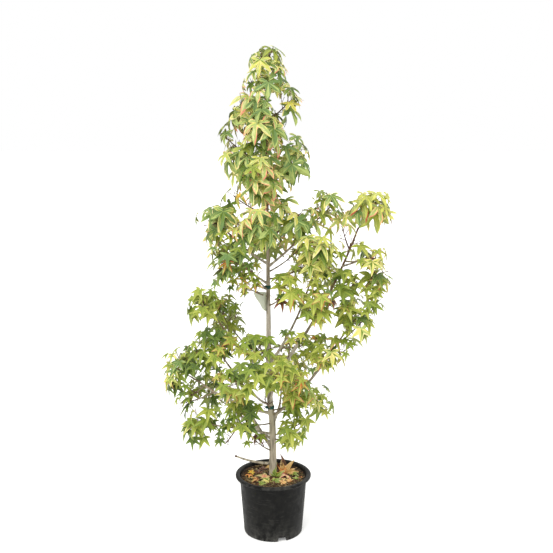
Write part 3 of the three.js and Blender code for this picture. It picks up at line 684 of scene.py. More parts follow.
def grow_fine_twigs(mass):
    """Twigs that leave the stem and the side twigs, inside the space of the mass."""
    rule = FINE_TWIG
    places = [(mass.twigs[0], t) for t in rule["on_stem"]]
    places += [(twig, t) for twig in mass.twigs[1:] for t in rule["on_twig"]]
    draws = mass.stream(rule["stream"], 4 * len(places)).reshape(-1, 4)
    low, high = mass.middle - mass.reach, mass.middle + mass.reach
    for k, (carrier, t) in enumerate(places):
        turn_draw, spread_draw, length_draw, bow_draw = draws[k]
        root = carrier.at(t)
        forward = heading_at(carrier, t)
        side, over = square_to(forward)
        turn = k * GOLDEN_ANGLE + turn_draw
        across = side * math.cos(turn) + over * math.sin(turn)
        spread = between(rule["spread"], spread_draw) * (rule["spread_share_at_tip"] if t == 1 else 1)
        heading = unit(forward * math.cos(spread) + across * math.sin(spread) + UP * rule["rise"])
        length = between(rule["reach"], length_draw)
        tip = root + heading * mass.reach * length
        bow = across * between(rule["bow"], bow_draw) * np.linalg.norm(tip - root)
        twig = Limb(root, tip, bow, rule["radii"], rule["steps"])
        points = twig.at(rule["checked_at"])
        near = taken.near(low, high, mass.index, FINE_GAPS, FINE_GAPS_IN_MASS)
        kept_open = in_opening(points).mean() < MOST_IN_OPENING
        within = mass.depth(points).max() < rule["most_depth"]
        if kept_open and within and not near.crowds(points, "twig"):
            mass.fine_twigs.append(twig)
            take_limb(twig, "twig", mass.index)


# ---------------------------------------------------------------- leaves


def on_blade(turn, along, across=0.0):
    """A place on a blade whose stalk is at the origin and whose middle lobe lies along x."""
    return np.stack(
        [
            along * np.cos(turn) - across * np.sin(turn),
            along * np.sin(turn) + across * np.cos(turn),
        ],
        -1,
    )


def blade_samples():
    places = [np.zeros(2)]
    for i, (turn, reach) in enumerate(zip(LOBE_TURNS, LOBE_REACH)):
        places.append(on_blade(turn, reach))
        if i < len(NOTCH_REACH):
            places.append(on_blade((turn + LOBE_TURNS[i + 1]) / 2, NOTCH_REACH[i]))
    for turn, reach in zip(LOBE_TURNS, LOBE_REACH):
        places += [on_blade(turn, along * reach, across) for along, across in LOBE_SAMPLES]
    return np.array(places)


BLADE_SAMPLES = blade_samples()


class Leaves:
    """Tries at a leaf, or one leaf: every value is an array with one row for each."""

    def __init__(self, **values):
        self.__dict__.update(values)

    def one(self, i):
        return Leaves(**{name: value[i : i + 1] for name, value in self.__dict__.items()})

    def blade_points(self, places):
        """Places on the blade, which droops away from the stalk: one row for each leaf."""
        x, y = places[:, 0, None], places[:, 1, None]
        length = self.length[:, None, None]
        drop = self.droop[:, None, None] * (x * x + y * y)
        along = self.forward[:, None] * x + self.across[:, None] * y - self.normal[:, None] * drop
        return self.base[:, None] + along * length

    def middle(self):
        return self.blade_points(BLADE_MIDDLE)[:, 0]

    def stalk_points(self, shares):
        t = np.array(shares)[:, None]
        return self.root[:, None] * (1 - t) + self.base[:, None] * t


def trunk_beside(levels):
    """The trunk's middle at each level."""
    return trunk.at(np.clip((levels - TRUNK["foot"][2]) / trunk.height, 0, 1))


def propose_leaves(mass, twigs, slot, rule):
    """The tries at one leaf: where its stalk leaves a twig, and how its blade hangs."""
    draws = mass.stream(slot + 1, rule["tries"] * DRAWS_PER_LEAF).reshape(-1, DRAWS_PER_LEAF).T
    number = np.floor(draws[0] * len(twigs)).astype(int)
    on_stem, on_twig = between(rule["from_stem"], draws[1]), between(rule["from_twig"], draws[1])
    share = np.where(number == 0, on_stem, on_twig)
    root = np.zeros((rule["tries"], 3))
    along = np.zeros((rule["tries"], 3))
    for k, twig in enumerate(twigs):
        root[number == k] = twig.at(share[number == k])
        along[number == k] = heading_at(twig, share[number == k])
    side, over = square_to(along)
    turn = (slot * GOLDEN_ANGLE + draws[2] * rule["turn_range"])[:, None]
    stalk = side * np.cos(turn) + over * np.sin(turn)
    stalk = stalk + along * between(rule["stalk_forward"], draws[3])[:, None]
    stalk = unit(stalk + UP * rule["stalk_rise"])
    base = root + stalk * between(rule["stalk"], draws[4])[:, None]

    flat = np.array([1.0, 1.0, 0.0])
    facing = unit((base - trunk_beside(base[:, 2])) * flat)
    facing = facing + np.array([0, -1, 0]) * (0 if mass.middle[1] > BEHIND else 1)
    facing = facing + level_ways(draws[5] * FULL_TURN) * rule["wander"]
    facing = unit((facing + stalk * rule["follow_stalk"]) * flat)
    pitch = between(rule["pitch"], draws[6])[:, None]
    forward = facing * np.cos(pitch) - UP * np.sin(pitch)
    level = np.cross(UP, facing)
    roll = between(rule["roll"], draws[7])[:, None]
    across = level * np.cos(roll) + np.cross(forward, level) * np.sin(roll)
    return Leaves(
        root=root,
        base=base,
        forward=forward,
        across=across,
        normal=np.cross(forward, across),
        length=between(rule["blade"], draws[8]),
        droop=between(rule["droop"], draws[9]),
        twig=number,
        share=share,
    )


def in_shared_space(points, mass):
    """Whether places lie in the soft form of a mass and its neighbours together."""
    spaces = [mass, *mass.neighbours]
    depths = [np.maximum(SHARED_SPACE["least_depth"], space.depth(points)) for space in spaces]
    return sum(depth ** -SHARED_SPACE["power"] for depth in depths) >= SHARED_SPACE["least"]


def within_space(leaves, mass, rule):
    """Which leaves stay in the space of their mass and off the pot."""
    stalk_way = unit(leaves.base - leaves.root)
    good = np.abs((stalk_way * leaves.across).sum(-1)) <= rule["stalk_sideways"]
    points = leaves.blade_points(BLADE_SAMPLES)
    own = mass.depth(points)
    shared = "least_room" in rule
    good &= own.max(1) <= (SHARED_SPACE["deepest"] if shared else 1)
    low = points[..., 2] < POT["height"] + rule["off_pot"]
    over = np.hypot(points[..., 0], points[..., 1]) < POT["rim_radius"] + rule["off_pot"]
    good &= ~np.any(low & over, 1)
    if shared:
        aside = np.abs(points[..., 0] - trunk_beside(points[..., 2])[..., 0])
        beside = aside < OPEN_STRIP["half_width"]
        for low_end, high_end in OPEN_STRIP["levels"]:
            level = (points[..., 2] > low_end) & (points[..., 2] < high_end)
            good &= ~np.any(beside & level & (points[..., 1] < 0), 1)
        good[good] = in_shared_space(points[good], mass).all(1)
        good[good] = ~in_opening(points[good]).any(1)
        return good
    for other in mass.neighbours:
        left = np.flatnonzero(good)
        if len(left) == 0:
            break
        outside = np.any(other.depth(points[left]) < own[left] - rule["border"], 1)
        good[left[outside]] = False
    return good


def worth_of(leaves, mass, middles):
    """The room round each leaf, and that with what it gains near the surface of its mass."""
    middle = leaves.middle()
    edge = PLACE["edge"] * mass.depth(leaves.blade_points(BLADE_TIP)[:, 0])
    room = np.full(len(middle), float(PLACE["most_room"]))
    if middles:
        step = (middle[:, None] - np.array(middles)) * [1, PLACE["depth_share"], 1]
        room = np.minimum(room, np.linalg.norm(step, axis=-1).min(1))
    return room, room + edge


def best_leaf(mass, twigs, slot, rule, gaps, gaps_in_mass, middles):
    """The best of the tries that fit, if one does."""
    tries = propose_leaves(mass, twigs, slot, rule)
    fitting = np.flatnonzero(within_space(tries, mass, rule))
    if len(fitting) == 0:
        return None
    room, worth = worth_of(tries, mass, middles)
    fitting = fitting[room[fitting] >= rule.get("least_room", 0)]
    low, high = mass.middle - mass.reach, mass.middle + mass.reach
    near = taken.near(low, high, mass.index, gaps, gaps_in_mass)
    for i in fitting[np.argsort(-worth[fitting], kind="stable")]:
        leaf = tries.one(i)
        if near.crowds(leaf.blade_points(BLADE_SAMPLES)[0], "blade"):
            continue
        if not near.crowds(leaf.stalk_points(rule["stalk_checked_at"])[0], "stalk"):
            return leaf
    return None


def grow_leaves(masses, rule, gaps, gaps_in_mass, middles):
    """One leaf for each mass in turn, so that no mass crowds out another."""
    most = max(mass.leaf_count(rule) for mass in masses)
    for number in range(most):
        for mass in masses:
            if number >= mass.leaf_count(rule):
                continue
            twigs = mass.twigs + mass.fine_twigs
            slot = rule["first_slot"] + number
            leaf = best_leaf(mass, twigs, slot, rule, gaps, gaps_in_mass, middles)
            if leaf is None:
                continue
            leaf.carrier = twigs[leaf.twig[0]]
            leaf.slot = slot
            mass.leaves.append(leaf)
            middles.append(leaf.middle()[0])
            taken.add(leaf.blade_points(BLADE_SAMPLES)[0], 0, "blade", mass.index)
            stalk = leaf.stalk_points(rule["stalk_checked_at"])[0]
            taken.add(stalk, rule["stalk_radius"], "stalk", mass.index)


def keeps_open(leaf):
    """Whether little enough of a leaf shows in an opening."""
    return in_opening(leaf.blade_points(BLADE_SAMPLES)[0]).mean() <= MOST_IN_OPENING


def grow_crown():
    """The larger leaves first, as the model has them, then shoots, fine twigs and smaller leaves."""
    masses = [Mass(index, *row) for index, row in enumerate(MASSES + SHOOTS)]
    main_masses = masses[: len(MASSES)]
    for mass in masses:
        mass.neighbours = [other for other in main_masses if other is not mass and mass.is_near(other)]
    for limb in limbs.values():
        take_limb(limb, "limb", NOBODY)
    for mass in main_masses:
        grow_twigs(mass)
    middles = []
    grow_leaves(main_masses, LEAF, GAPS, GAPS_IN_MASS, middles)
    for mass in main_masses:
        mass.leaves = [leaf for leaf in mass.leaves if keeps_open(leaf)]
    for mass in masses[len(MASSES) :]:
        grow_twigs(mass)
    for mass in masses:
        grow_fine_twigs(mass)
    grow_leaves(masses, SMALL_LEAF, FINE_GAPS, FINE_GAPS_IN_MASS, middles)
    return [mass for mass in masses if mass.leaves]


# ---------------------------------------------------------------- meshes


class Mesh:
    """Points and faces, with a tint for each face, gathered for one piece."""

    def __init__(self):
        self.points = []
        self.faces = []
        self.tints = []
        self.count = 0

    def add(self, points, faces, tints):
        """faces is a list of arrays of point numbers, and tints the tint of each array's faces."""
        for group, tint in zip(faces, tints):
            self.faces.append(group + self.count)
            self.tints.append(np.broadcast_to(tint, len(group)))
        self.points.append(points)
        self.count += len(points)

    def make(self, name, materials, nodes, sharp=50):
        """The piece, which takes the place of those nodes of the model."""
        points = (np.vstack(self.points) * MM).astype(np.float32)
        corners = np.concatenate([group.ravel() for group in self.faces]).astype(np.int32)
        sizes = np.concatenate([np.full(len(group), group.shape[1]) for group in self.faces])
        starts = (np.cumsum(sizes) - sizes).astype(np.int32)
        mesh = bpy.data.meshes.new(name)
        mesh.vertices.add(len(points))
        mesh.vertices.foreach_set("co", points.ravel())
        mesh.loops.add(len(corners))
        mesh.loops.foreach_set("vertex_index", corners)
        mesh.polygons.add(len(sizes))
        mesh.polygons.foreach_set("loop_start", starts)
        mesh.polygons.foreach_set("material_index", np.concatenate(self.tints).astype(np.int32))
        for material in materials:
            mesh.materials.append(material)
        mesh.update(calc_edges=True)
        mesh.shade_smooth()
        mesh.set_sharp_from_angle(angle=math.radians(sharp))
        piece = bpy.data.objects.new(name, mesh)
        bpy.context.scene.collection.objects.link(piece)
        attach(piece, "root")
        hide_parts(*nodes)
        return piece


def ring_numbers(rows, count):
    """For rows of rings of count points each, every quad between one ring and the next."""
    first = (np.arange(rows - 1)[:, None] * count + np.arange(count)).ravel()
    second = (np.arange(rows - 1)[:, None] * count + (np.arange(count) + 1) % count).ravel()
    return np.stack([first, second, second + count, first + count], -1)


def fan_numbers(middle, start, count, outwards=True):
    """A fan from a middle point to a ring of count points."""
    a = start + np.arange(count)
    b = start + (np.arange(count) + 1) % count
    return np.stack([np.full(count, middle), a, b] if outwards else [np.full(count, middle), b, a], -1)


def add_rings(mesh, rings, first_end, last_end, tints):
    """A closed surface through rows of rings, with a fan to a point at either end."""
    rows, count = rings.shape[:2]
    last = rows * count
    faces = [
        ring_numbers(rows, count),
        fan_numbers(last, 0, count, outwards=False),
        fan_numbers(last + 1, last - count, count),
    ]
    mesh.add(np.vstack([rings.reshape(-1, 3), first_end, last_end]), faces, tints)


def frames_along(centres):
    """Two unit vectors square to a path at each of its points, turning as little as they can."""
    ways = unit(np.gradient(centres, axis=0))
    side = square_to(ways[0])[0]
    sides = []
    for way in ways:
        side = side - way * (side @ way)
        side = side / math.sqrt(side @ side)
        sides.append(side)
    sides = np.array(sides)
    return sides, np.cross(ways, sides)


def add_tube(mesh, centres, radii, sides, tint):
    """A closed tube. The radii are one for all, one for each ring, or one for each corner."""
    rings = len(centres)
    side, over = frames_along(centres)
    turns = even_turns(sides)
    radii = np.asarray(radii, float)
    if radii.ndim < 2:
        radii = np.broadcast_to(radii, rings)[:, None]
    radii = np.broadcast_to(radii, (rings, sides))[..., None]
    around = side[:, None] * np.cos(turns)[:, None] + over[:, None] * np.sin(turns)[:, None]
    tints = [np.repeat(np.broadcast_to(tint, rings)[:-1], sides), np.min(tint), np.max(tint)]
    add_rings(mesh, centres[:, None] + around * radii, centres[0], centres[-1], tints)


def lens_faces(count, rings):
    """The fans and the bands of a thin closed piece: rings round a middle on both sides, with one rim."""
    top = 1 + np.arange(rings * count).reshape(rings, count)
    under_middle = 1 + rings * count
    under = under_middle + 1 + np.arange((rings - 1) * count).reshape(rings - 1, count)
    under = np.vstack([under, top[-1:]])

    def band(inner, outer):
        return np.stack([inner, outer, np.roll(outer, -1), np.roll(inner, -1)], -1)

    fans = np.vstack(
        [
            np.stack([0 * top[0], top[0], np.roll(top[0], -1)], -1),
            np.stack([0 * top[0] + under_middle, np.roll(under[0], -1), under[0]], -1),
        ]
    )
    bands = [band(top[i], top[i + 1]) for i in range(rings - 1)]
    bands += [band(under[i], under[i + 1])[:, ::-1] for i in range(rings - 1)]
    return fans, np.vstack(bands)


# ---------------------------------------------------------------- materials


def linear(colour):
    """A display colour, 0 to 255, as the shader's numbers, by the sRGB curve."""
    shares = np.array(colour) / 255
    return (*np.where(shares <= 0.04045, shares / 12.92, ((shares + 0.055) / 1.055) ** 2.4), 1)


def principled(name, colour, roughness, specular=0.4):
    material = bpy.data.materials.new(name)
    material.use_nodes = True
    shader = material.node_tree.nodes["Principled BSDF"]
    shader.inputs["Base Color"].default_value = linear(colour)
    shader.inputs["Roughness"].default_value = roughness
    shader.inputs["Specular IOR Level"].default_value = specular
    return material


class Nodes:
    """Short ways to add nodes to a material. Their lengths are metres."""

    def __init__(self, material):
        self.tree = material.node_tree
        self.shader = self.tree.nodes["Principled BSDF"]
        self.place = self.tree.nodes.new("ShaderNodeTexCoord").outputs["Object"]

    def link(self, source, target):
        self.tree.links.new(source, target)

    def noise(self, scale, detail=4, stretch=(1, 1, 1), roughness=0.5):
        mapping = self.tree.nodes.new("ShaderNodeMapping")
        mapping.inputs["Scale"].default_value = stretch
        self.link(self.place, mapping.inputs["Vector"])
        noise = self.tree.nodes.new("ShaderNodeTexNoise")
        noise.inputs["Scale"].default_value = scale
        noise.inputs["Detail"].default_value = detail
        noise.inputs["Roughness"].default_value = roughness
        self.link(mapping.outputs["Vector"], noise.inputs["Vector"])
        return noise.outputs["Fac"]

    def ramp(self, value, stops):
        """stops is a list of (place, colour or grey)."""
        ramp = self.tree.nodes.new("ShaderNodeValToRGB")
        elements = ramp.color_ramp.elements
        while len(elements) < len(stops):
            elements.new(0.5)
        for element, (place, colour) in zip(elements, stops):
            element.position = place
            element.color = (colour, colour, colour, 1) if np.isscalar(colour) else linear(colour)
        self.link(value, ramp.inputs["Fac"])
        return ramp.outputs["Color"]

    def mix(self, share, first, second):
        mix = self.tree.nodes.new("ShaderNodeMix")
        mix.data_type = "RGBA"
        self.link(share, mix.inputs[0])
        for socket, source in ((mix.inputs[6], first), (mix.inputs[7], second)):
            if isinstance(source, tuple):
                socket.default_value = linear(source)
            else:
                self.link(source, socket)
        return mix.outputs[2]

    def height(self):
        """The level above the ground, in metres."""
        split = self.tree.nodes.new("ShaderNodeSeparateXYZ")
        self.link(self.place, split.inputs[0])
        return split.outputs["Z"]

    def bump(self, value, distance, strength=1.0):
        bump = self.tree.nodes.new("ShaderNodeBump")
        bump.inputs["Distance"].default_value = distance
        bump.inputs["Strength"].default_value = strength
        self.link(value, bump.inputs["Height"])
        self.link(bump.outputs["Normal"], self.shader.inputs["Normal"])

    def colour(self, source):
        self.link(source, self.shader.inputs["Base Color"])

    def gloss(self, source):
        self.link(source, self.shader.inputs["Roughness"])


LEAF_TINTS = {
    "deep": (56, 78, 22),
    "dark": (76, 98, 28),
    "green": (101, 123, 34),
    "middle": (127, 144, 48),
    "fresh": (154, 164, 62),
    "lime": (185, 187, 88),
    "grey_green": (101, 128, 66),
    "pale_green": (165, 180, 100),
    "yellow_green": (202, 202, 92),
    "yellow": (216, 200, 90),
    "gold": (224, 170, 52),
    "cream": (222, 207, 124),
    "cream_pale": (230, 217, 150),
    "peach": (232, 174, 126),
    "pink": (212, 132, 104),
    "red": (168, 62, 44),
    "rust": (164, 96, 52),
    "brown": (104, 72, 52),
    "dark_brown": (60, 42, 32),
    "tan": (214, 172, 104),
    "tan_pale": (226, 196, 140),
    "orange": (216, 132, 62),
    "rose": (198, 96, 104),
    "under": (143, 154, 80),
    "under_pale": (206, 206, 142),
}
TINT_NAMES = list(LEAF_TINTS)


def leaf_materials():
    finish = {"roughness": 0.5, "specular": 0.35}
    return [principled(f"leaf_{name}", tint, **finish) for name, tint in LEAF_TINTS.items()]


# ---------------------------------------------------------------- leaf blades

# The rim's points on each lobe, along its midrib and to its sides, pointed or oval.
LOBE_ALONG = np.array([0.42, 0.62, 0.82, 1, 0.82, 0.62, 0.42])
LOBE_SIDE = np.array([-1, -0.76, -0.37, 0, 0.37, 0.76, 1])
OVAL_LOBE_SIDE = np.array([-0.72, -1.02, -0.76, 0, 0.76, 1.02, 0.72])
LOBE_POINTS = len(LOBE_ALONG)
LOBES = len(LOBE_TURNS)
LOBE_TURN_SPREAD = 0.05
LOBE_REACH_RANGE = (0.9, 1.03)
HEEL = {"turn": math.radians(150), "reach": 0.16, "stalk": 0.03, "offset": 0.1, "points": 3}
NOTCH_OFFSET = 0.45
CURL_FROM = 0.35
BLADE_RINGS = np.array([0.4, 0.7, 0.87, 1.0])
BLADE_THICKNESS = 0.5
RIM_POINTS = LOBES * LOBE_POINTS + len(NOTCH_REACH) + HEEL["points"]
BLADE_FANS, BLADE_BANDS = lens_faces(RIM_POINTS, len(BLADE_RINGS))
# The faces on both sides of each lobe's tip, and the groups of four faces that share a tint.
LOBE_TIPS = 1 + LOBE_POINTS // 2 + (LOBE_POINTS + 1) * np.arange(LOBES)
TIP_SECTORS = np.stack([LOBE_TIPS - 1, LOBE_TIPS], -1).ravel()
SECTOR_GROUPS = np.arange(RIM_POINTS) // 4
GROUPS = int(SECTOR_GROUPS[-1]) + 1

# What each zone of a blade may be: the veins, the middle, the part between and the margin.
PATTERNS = {
    "variegated": (
        "pale_green grey_green",
        "grey_green green",
        "grey_green grey_green pale_green cream",
        "cream cream_pale pale_green grey_green",
    ),
    "grey": ("pale_green grey_green", "grey_green", "grey_green green", "grey_green pale_green"),
    "cream": (
        "yellow_green pale_green",
        "pale_green cream green",
        "cream cream_pale lime pale_green",
        "cream cream_pale lime",
    ),
    "yellow_edged": ("fresh", "middle green", "middle fresh", "yellow_green lime fresh"),
    "green": ("middle fresh", "green middle", "green middle", "middle green"),
    "fresh": ("fresh lime", "fresh middle", "fresh", "fresh lime"),
    "lime": ("yellow_green", "lime fresh", "lime", "lime yellow_green"),
    "dark": ("green", "dark deep", "dark", "dark green"),
    "red_edged": ("lime", "middle fresh", "fresh lime", "rust red yellow_green pink"),
    "yellow": ("lime", "yellow_green yellow", "yellow", "yellow gold"),
    "peach": (
        "pale_green",
        "cream pale_green yellow_green",
        "peach cream pale_green",
        "peach pink cream pale_green",
    ),
    "brown": ("rust", "brown dark_brown", "brown", "dark_brown brown"),
    "tan": ("tan_pale", "tan", "tan tan_pale", "tan tan_pale"),
    "tan_brown": ("tan_pale", "tan rust", "rust tan", "rust brown"),
    "orange": ("tan", "orange tan", "orange", "rust orange"),
    "pink": ("tan_pale", "rose tan_pale", "rose", "rose pink"),
    "rose_pale": ("tan_pale", "tan_pale pink", "tan_pale", "pink tan_pale"),
    "rusty": ("lime", "green orange", "rust middle", "rust orange red"),
    "gold": ("yellow", "gold yellow", "gold", "gold orange"),
    "faded_green": ("pale_green", "green middle", "middle", "pale_green tan"),
    "cream_green": ("pale_green", "green cream", "middle cream", "cream_pale cream"),
}
PALE_BELOW = ("cream", "peach", "yellow")
ALIKE_BELOW = ("brown", "tan", "orange")
EDGED_BELOW = ("variegated", "cream", "peach")

# How often each is dealt, low in the crown and low on its left, in its top, and in the cluster at
# the top right.
SHARES = {
    "low": dict(green=23, fresh=29, lime=9, yellow_edged=13, dark=3, red_edged=15, cream=5, grey=3),
    "left": dict(green=35, fresh=11, yellow_edged=12, dark=26, red_edged=10, cream=3, grey=5),
    "top": dict(variegated=29, cream=12, yellow_edged=7, grey=20, dark=13, yellow=3, peach=16),
    "right": dict(variegated=15, cream=21, yellow=4, lime=18, peach=24, fresh=12, red_edged=8),
}
# Where one share passes into the next, along Z for the top, X for the left and both for the right.
TOP_FROM = (1180, 1480)
LEFT_FROM = (40, -120)
RIGHT_FROM = {"x": (240, 300), "z": (1330, 1390)}
TOP_SHAPES_FROM = (1200, 1500)


def blade_outline(shape, rng):
    """The outline in order of rising turn, and how far each point lies from its lobe's midrib."""
    turns = LOBE_TURNS + rng.normal(0, LOBE_TURN_SPREAD, LOBES)
    reaches = LOBE_REACH * rng.uniform(*LOBE_REACH_RANGE, LOBES)
    places = [on_blade(-HEEL["turn"], HEEL["reach"])]
    offsets = [HEEL["offset"]]
    for i in reversed(range(LOBES)):
        side = between((LOBE_SIDE, OVAL_LOBE_SIDE), shape["oval"]) * shape["width"] * reaches[i] ** 0.5
        places.extend(on_blade(turns[i], LOBE_ALONG * reaches[i], side))
        offsets.extend(np.abs(side))
        if i > 0:
            reach = NOTCH_REACH[i - 1] * shape["notch"]
            places.append(on_blade((turns[i] + turns[i - 1]) / 2, reach))
            offsets.append(reach * NOTCH_OFFSET)
    places.append(on_blade(HEEL["turn"], HEEL["reach"]))
    places.append(on_blade(math.pi, HEEL["stalk"]))
    offsets.extend([HEEL["offset"], 0])
    return np.array(places), np.array(offsets)


def blade_tints(pattern, rng):
    """A tint for every face of a blade, dealt by half lobes and by zones."""
    zones = []
    for names in PATTERNS[pattern]:
        dealt = rng.choice([TINT_NAMES.index(name) for name in names.split()], GROUPS)
        zones.append(dealt[SECTOR_GROUPS])
    vein, middle, between_zones, margin = zones
    for zone in (middle, between_zones):
        zone[TIP_SECTORS] = vein[TIP_SECTORS]
    below = pattern if pattern in ALIKE_BELOW else "under_pale" if pattern in PALE_BELOW else "under"
    under = np.full(RIM_POINTS, TINT_NAMES.index(below))
    edge_under = margin if pattern in EDGED_BELOW else under
    fans = np.concatenate([middle, under])
    bands = np.concatenate([middle, between_zones, margin, under, under, edge_under])
    return fans, bands


def add_blade(mesh, leaf, shape, pattern, rng):
    """A thin closed blade on a leaf's stalk."""
    flat, offsets = blade_outline(shape, rng)
    rings = BLADE_RINGS[:, None, None] * flat
    x, y = rings.reshape(-1, 2).T
    offset = (BLADE_RINGS[:, None] * offsets).ravel()
    reach = np.hypot(x, y)
    turn = np.arctan2(y, x)
    height = -leaf.droop[0] * reach**2 + shape["fold"] * offset
    height = height - shape["curl"] * np.maximum(0, reach - CURL_FROM) ** 2
    height = height + shape["ripple"] * reach**2 * np.sin(shape["waves"] * turn + shape["phase"])
    shares = np.repeat(BLADE_RINGS, RIM_POINTS)
    middle = BLADE_THICKNESS / 2 / leaf.length[0]
    half = middle * (1 - shares**2)
    inner = slice(0, RIM_POINTS * (len(BLADE_RINGS) - 1))
    local = np.vstack(
        [
            [0, 0, middle],
            np.stack([x, y, height + half], -1),
            [0, 0, -middle],
            np.stack([x, y, height - half], -1)[inner],
        ]
    )
    length = leaf.length[0] * shape["size"]
    frame_rows = np.stack([leaf.forward[0], leaf.across[0], leaf.normal[0]])
    points = leaf.base[0] + local @ frame_rows * length
    mesh.add(points, [BLADE_FANS, BLADE_BANDS], blade_tints(pattern, rng))


def deal_pattern(point, rng):
    """The pattern of a leaf, by its place in the crown."""
    top = smooth_step(*TOP_FROM, point[2])
    right = smooth_step(*RIGHT_FROM["x"], point[0]) * smooth_step(*RIGHT_FROM["z"], point[2])
    left = smooth_step(*LEFT_FROM, point[0])
    names = list(PATTERNS)
    weights = np.zeros(len(names))
    parts = {
        "low": (1 - top) * (1 - left),
        "left": (1 - top) * left,
        "top": top * (1 - right),
        "right": top * right,
    }
    for place, share in parts.items():
        total = sum(SHARES[place].values())
        for name, weight in SHARES[place].items():
            weights[names.index(name)] += share * weight / total
    return names[rng.choice(len(names), p=weights / weights.sum())]


def leaf_shape(point, rng):
    """Narrow, deeply cut and curled blades high in the crown, broader ones below."""
    top = smooth_step(*TOP_SHAPES_FROM, point[2])
    return {
        "width": between((0.142, 0.166), top) + rng.uniform(-0.015, 0.02),
        "notch": between((0.98, 0.74), top) * rng.uniform(0.92, 1.08),
        "oval": top * rng.uniform(0.6, 1),
        "fold": rng.uniform(0.1, between((0.45, 0.6), top)),
        "curl": between((0.05, 0.75), top) * rng.uniform(-0.2, 1.3),
        "ripple": rng.uniform(0.01, 0.05),
        "waves": rng.integers(2, 6),
        "phase": rng.uniform(0, FULL_TURN),
        "size": between((1.0, 1.2), top) * rng.uniform(0.84, 1.06),
    }


# Leaves of their own colour: for each pattern, the X and Z where such leaves hang, seen from the front.
MARKED = {
    "brown": [(-82, 393), (39, 1006), (244, 1064)],
    "dark": [
        (88, 1973),
        (45, 965),
        (470, 1180),
        (-385, 595),
        (-335, 445),
        (-235, 460),
        (-140, 1595),
        (365, 965),
    ],
    "gold": [(-162, 1514)],
    "rusty": [(-78, 1095), (-235, 1215), (-150, 1150), (190, 905), (115, 710)],
    "red_edged": [(95, 1090)],
    "peach": [(320, 1430), (290, 1400), (150, 1440), (-40, 1610), (-20, 1840), (60, 1560)],
    "variegated": [(-10, 1400), (400, 1270), (-430, 760), (-240, 1420)],
    "cream": [(440, 1250), (-450, 800), (-440, 720), (-60, 1700), (-130, 1760), (10, 1950), (-40, 2040)],
    "yellow_edged": [(330, 1240), (-210, 1360)],
    "grey": [(-265, 1125), (-185, 1750), (85, 1720), (-50, 1880), (75, 1635), (-65, 1420), (375, 1430)],
    "green": [(-120, 975), (105, 1135), (185, 1515)],
}
MARK_DEPTH_SHARE = 0.3  # how much a leaf further back counts as further away
WITHERED_PATTERNS = ("brown", "gold")
WITHERED = {"fold": 1.1, "curl": 1.6, "ripple": 0.12, "size": 0.8}


def marked_leaves(leaves):
    """The pattern of each marked leaf, by its id: the leaf that hangs nearest to each mark."""
    middles = np.array([leaf.middle()[0] for leaf in leaves])
    marks = {}
    for pattern, places in MARKED.items():
        for x, z in places:
            gap = np.hypot(middles[:, 0] - x, middles[:, 2] - z) + MARK_DEPTH_SHARE * middles[:, 1]
            marks[id(leaves[np.argmin(gap)])] = pattern
    return marks


def nodes_of(masses):
    """The solids of those masses that have one."""
    return [f"foliage_{mass.name}" for mass in masses if mass.index < len(MASSES)]


ZONES = ("top", "shoulder", "middle_left", "middle_right", "low_left", "low_right")
TOP_ABOVE = 1500
MIDDLE_ABOVE = 800


def zone_of(mass):
    """The piece that holds the leaves of a mass."""
    x, _, z = mass.middle
    if z > TOP_ABOVE:
        return "top"
    if z > VARIEGATED_ABOVE:
        return "shoulder"
    return ("middle_" if z > MIDDLE_ABOVE else "low_") + ("left" if x < 0 else "right")


def make_leaves(masses):
    materials = leaf_materials()
    rng = np.random.default_rng(SEED)
    marks = marked_leaves([leaf for mass in masses for leaf in mass.leaves])
    for zone in ZONES:
        members = [mass for mass in masses if zone_of(mass) == zone]
        mesh = Mesh()
        for mass in members:
            for leaf in mass.leaves:
                point = leaf.base[0]
                shape = leaf_shape(point, rng)
                pattern = marks.get(id(leaf)) or deal_pattern(point, rng)
                if pattern in WITHERED_PATTERNS:
                    shape.update(WITHERED)
                add_blade(mesh, leaf, shape, pattern, rng)
        mesh.make(f"leaves_{zone}", materials, nodes_of(members))


# ---------------------------------------------------------------- stalks and twigs

STALK_TINTS = {
    "stalk_green": (164, 170, 96),
    "stalk_lime": (188, 190, 120),
    "stalk_red": (168, 112, 78),
}
TWIG_TINTS = {
    "twig_grey": (122, 108, 84),
    "twig_brown": (92, 68, 50),
    "twig_red": (84, 52, 40),
    "twig_green": (112, 108, 62),
}

STALK = {
    "short_of_blade": 0.2,
    "arch": 0.1,
    "draw_back": 0.06,
    "radii": np.array([1.25, 0.95, 0.8, 0.75, 0.75, 0.85, 1.0]),
    "sides": 5,
    "tint_shares": (0.4, 0.25, 0.35),
}
BUD = {"first": (12, 24), "spacing": 32, "swell": 0.3, "half_length": 3.5, "end": (1.5, 1.5, 0.35)}
# The meshes of the stems, the side twigs and the fine twigs. A tint is its number in TWIG_TINTS.
TWIG_FORMS = {
    "stem": {"radii": (3.6, 1.7), "sides": 8, "rings": 28, "tints": (0, 1), "tints_high": (1, 2)},
    "side": {"radii": (1.8, 1.1), "sides": 6, "rings": 14, "tints": (1, 2, 2)},
    "fine": {"radii": (1.2, 0.8), "sides": 5, "rings": 9, "tints": (2, 2, 3)},
}
STEM_OVER_TIP = 1  # how much thicker a stem is than the bough's tip that it goes on from


def bend(start, control, end, count):
    t = np.linspace(0, 1, count)[:, None]
    return (1 - t) ** 2 * start + 2 * (1 - t) * t * control + t**2 * end


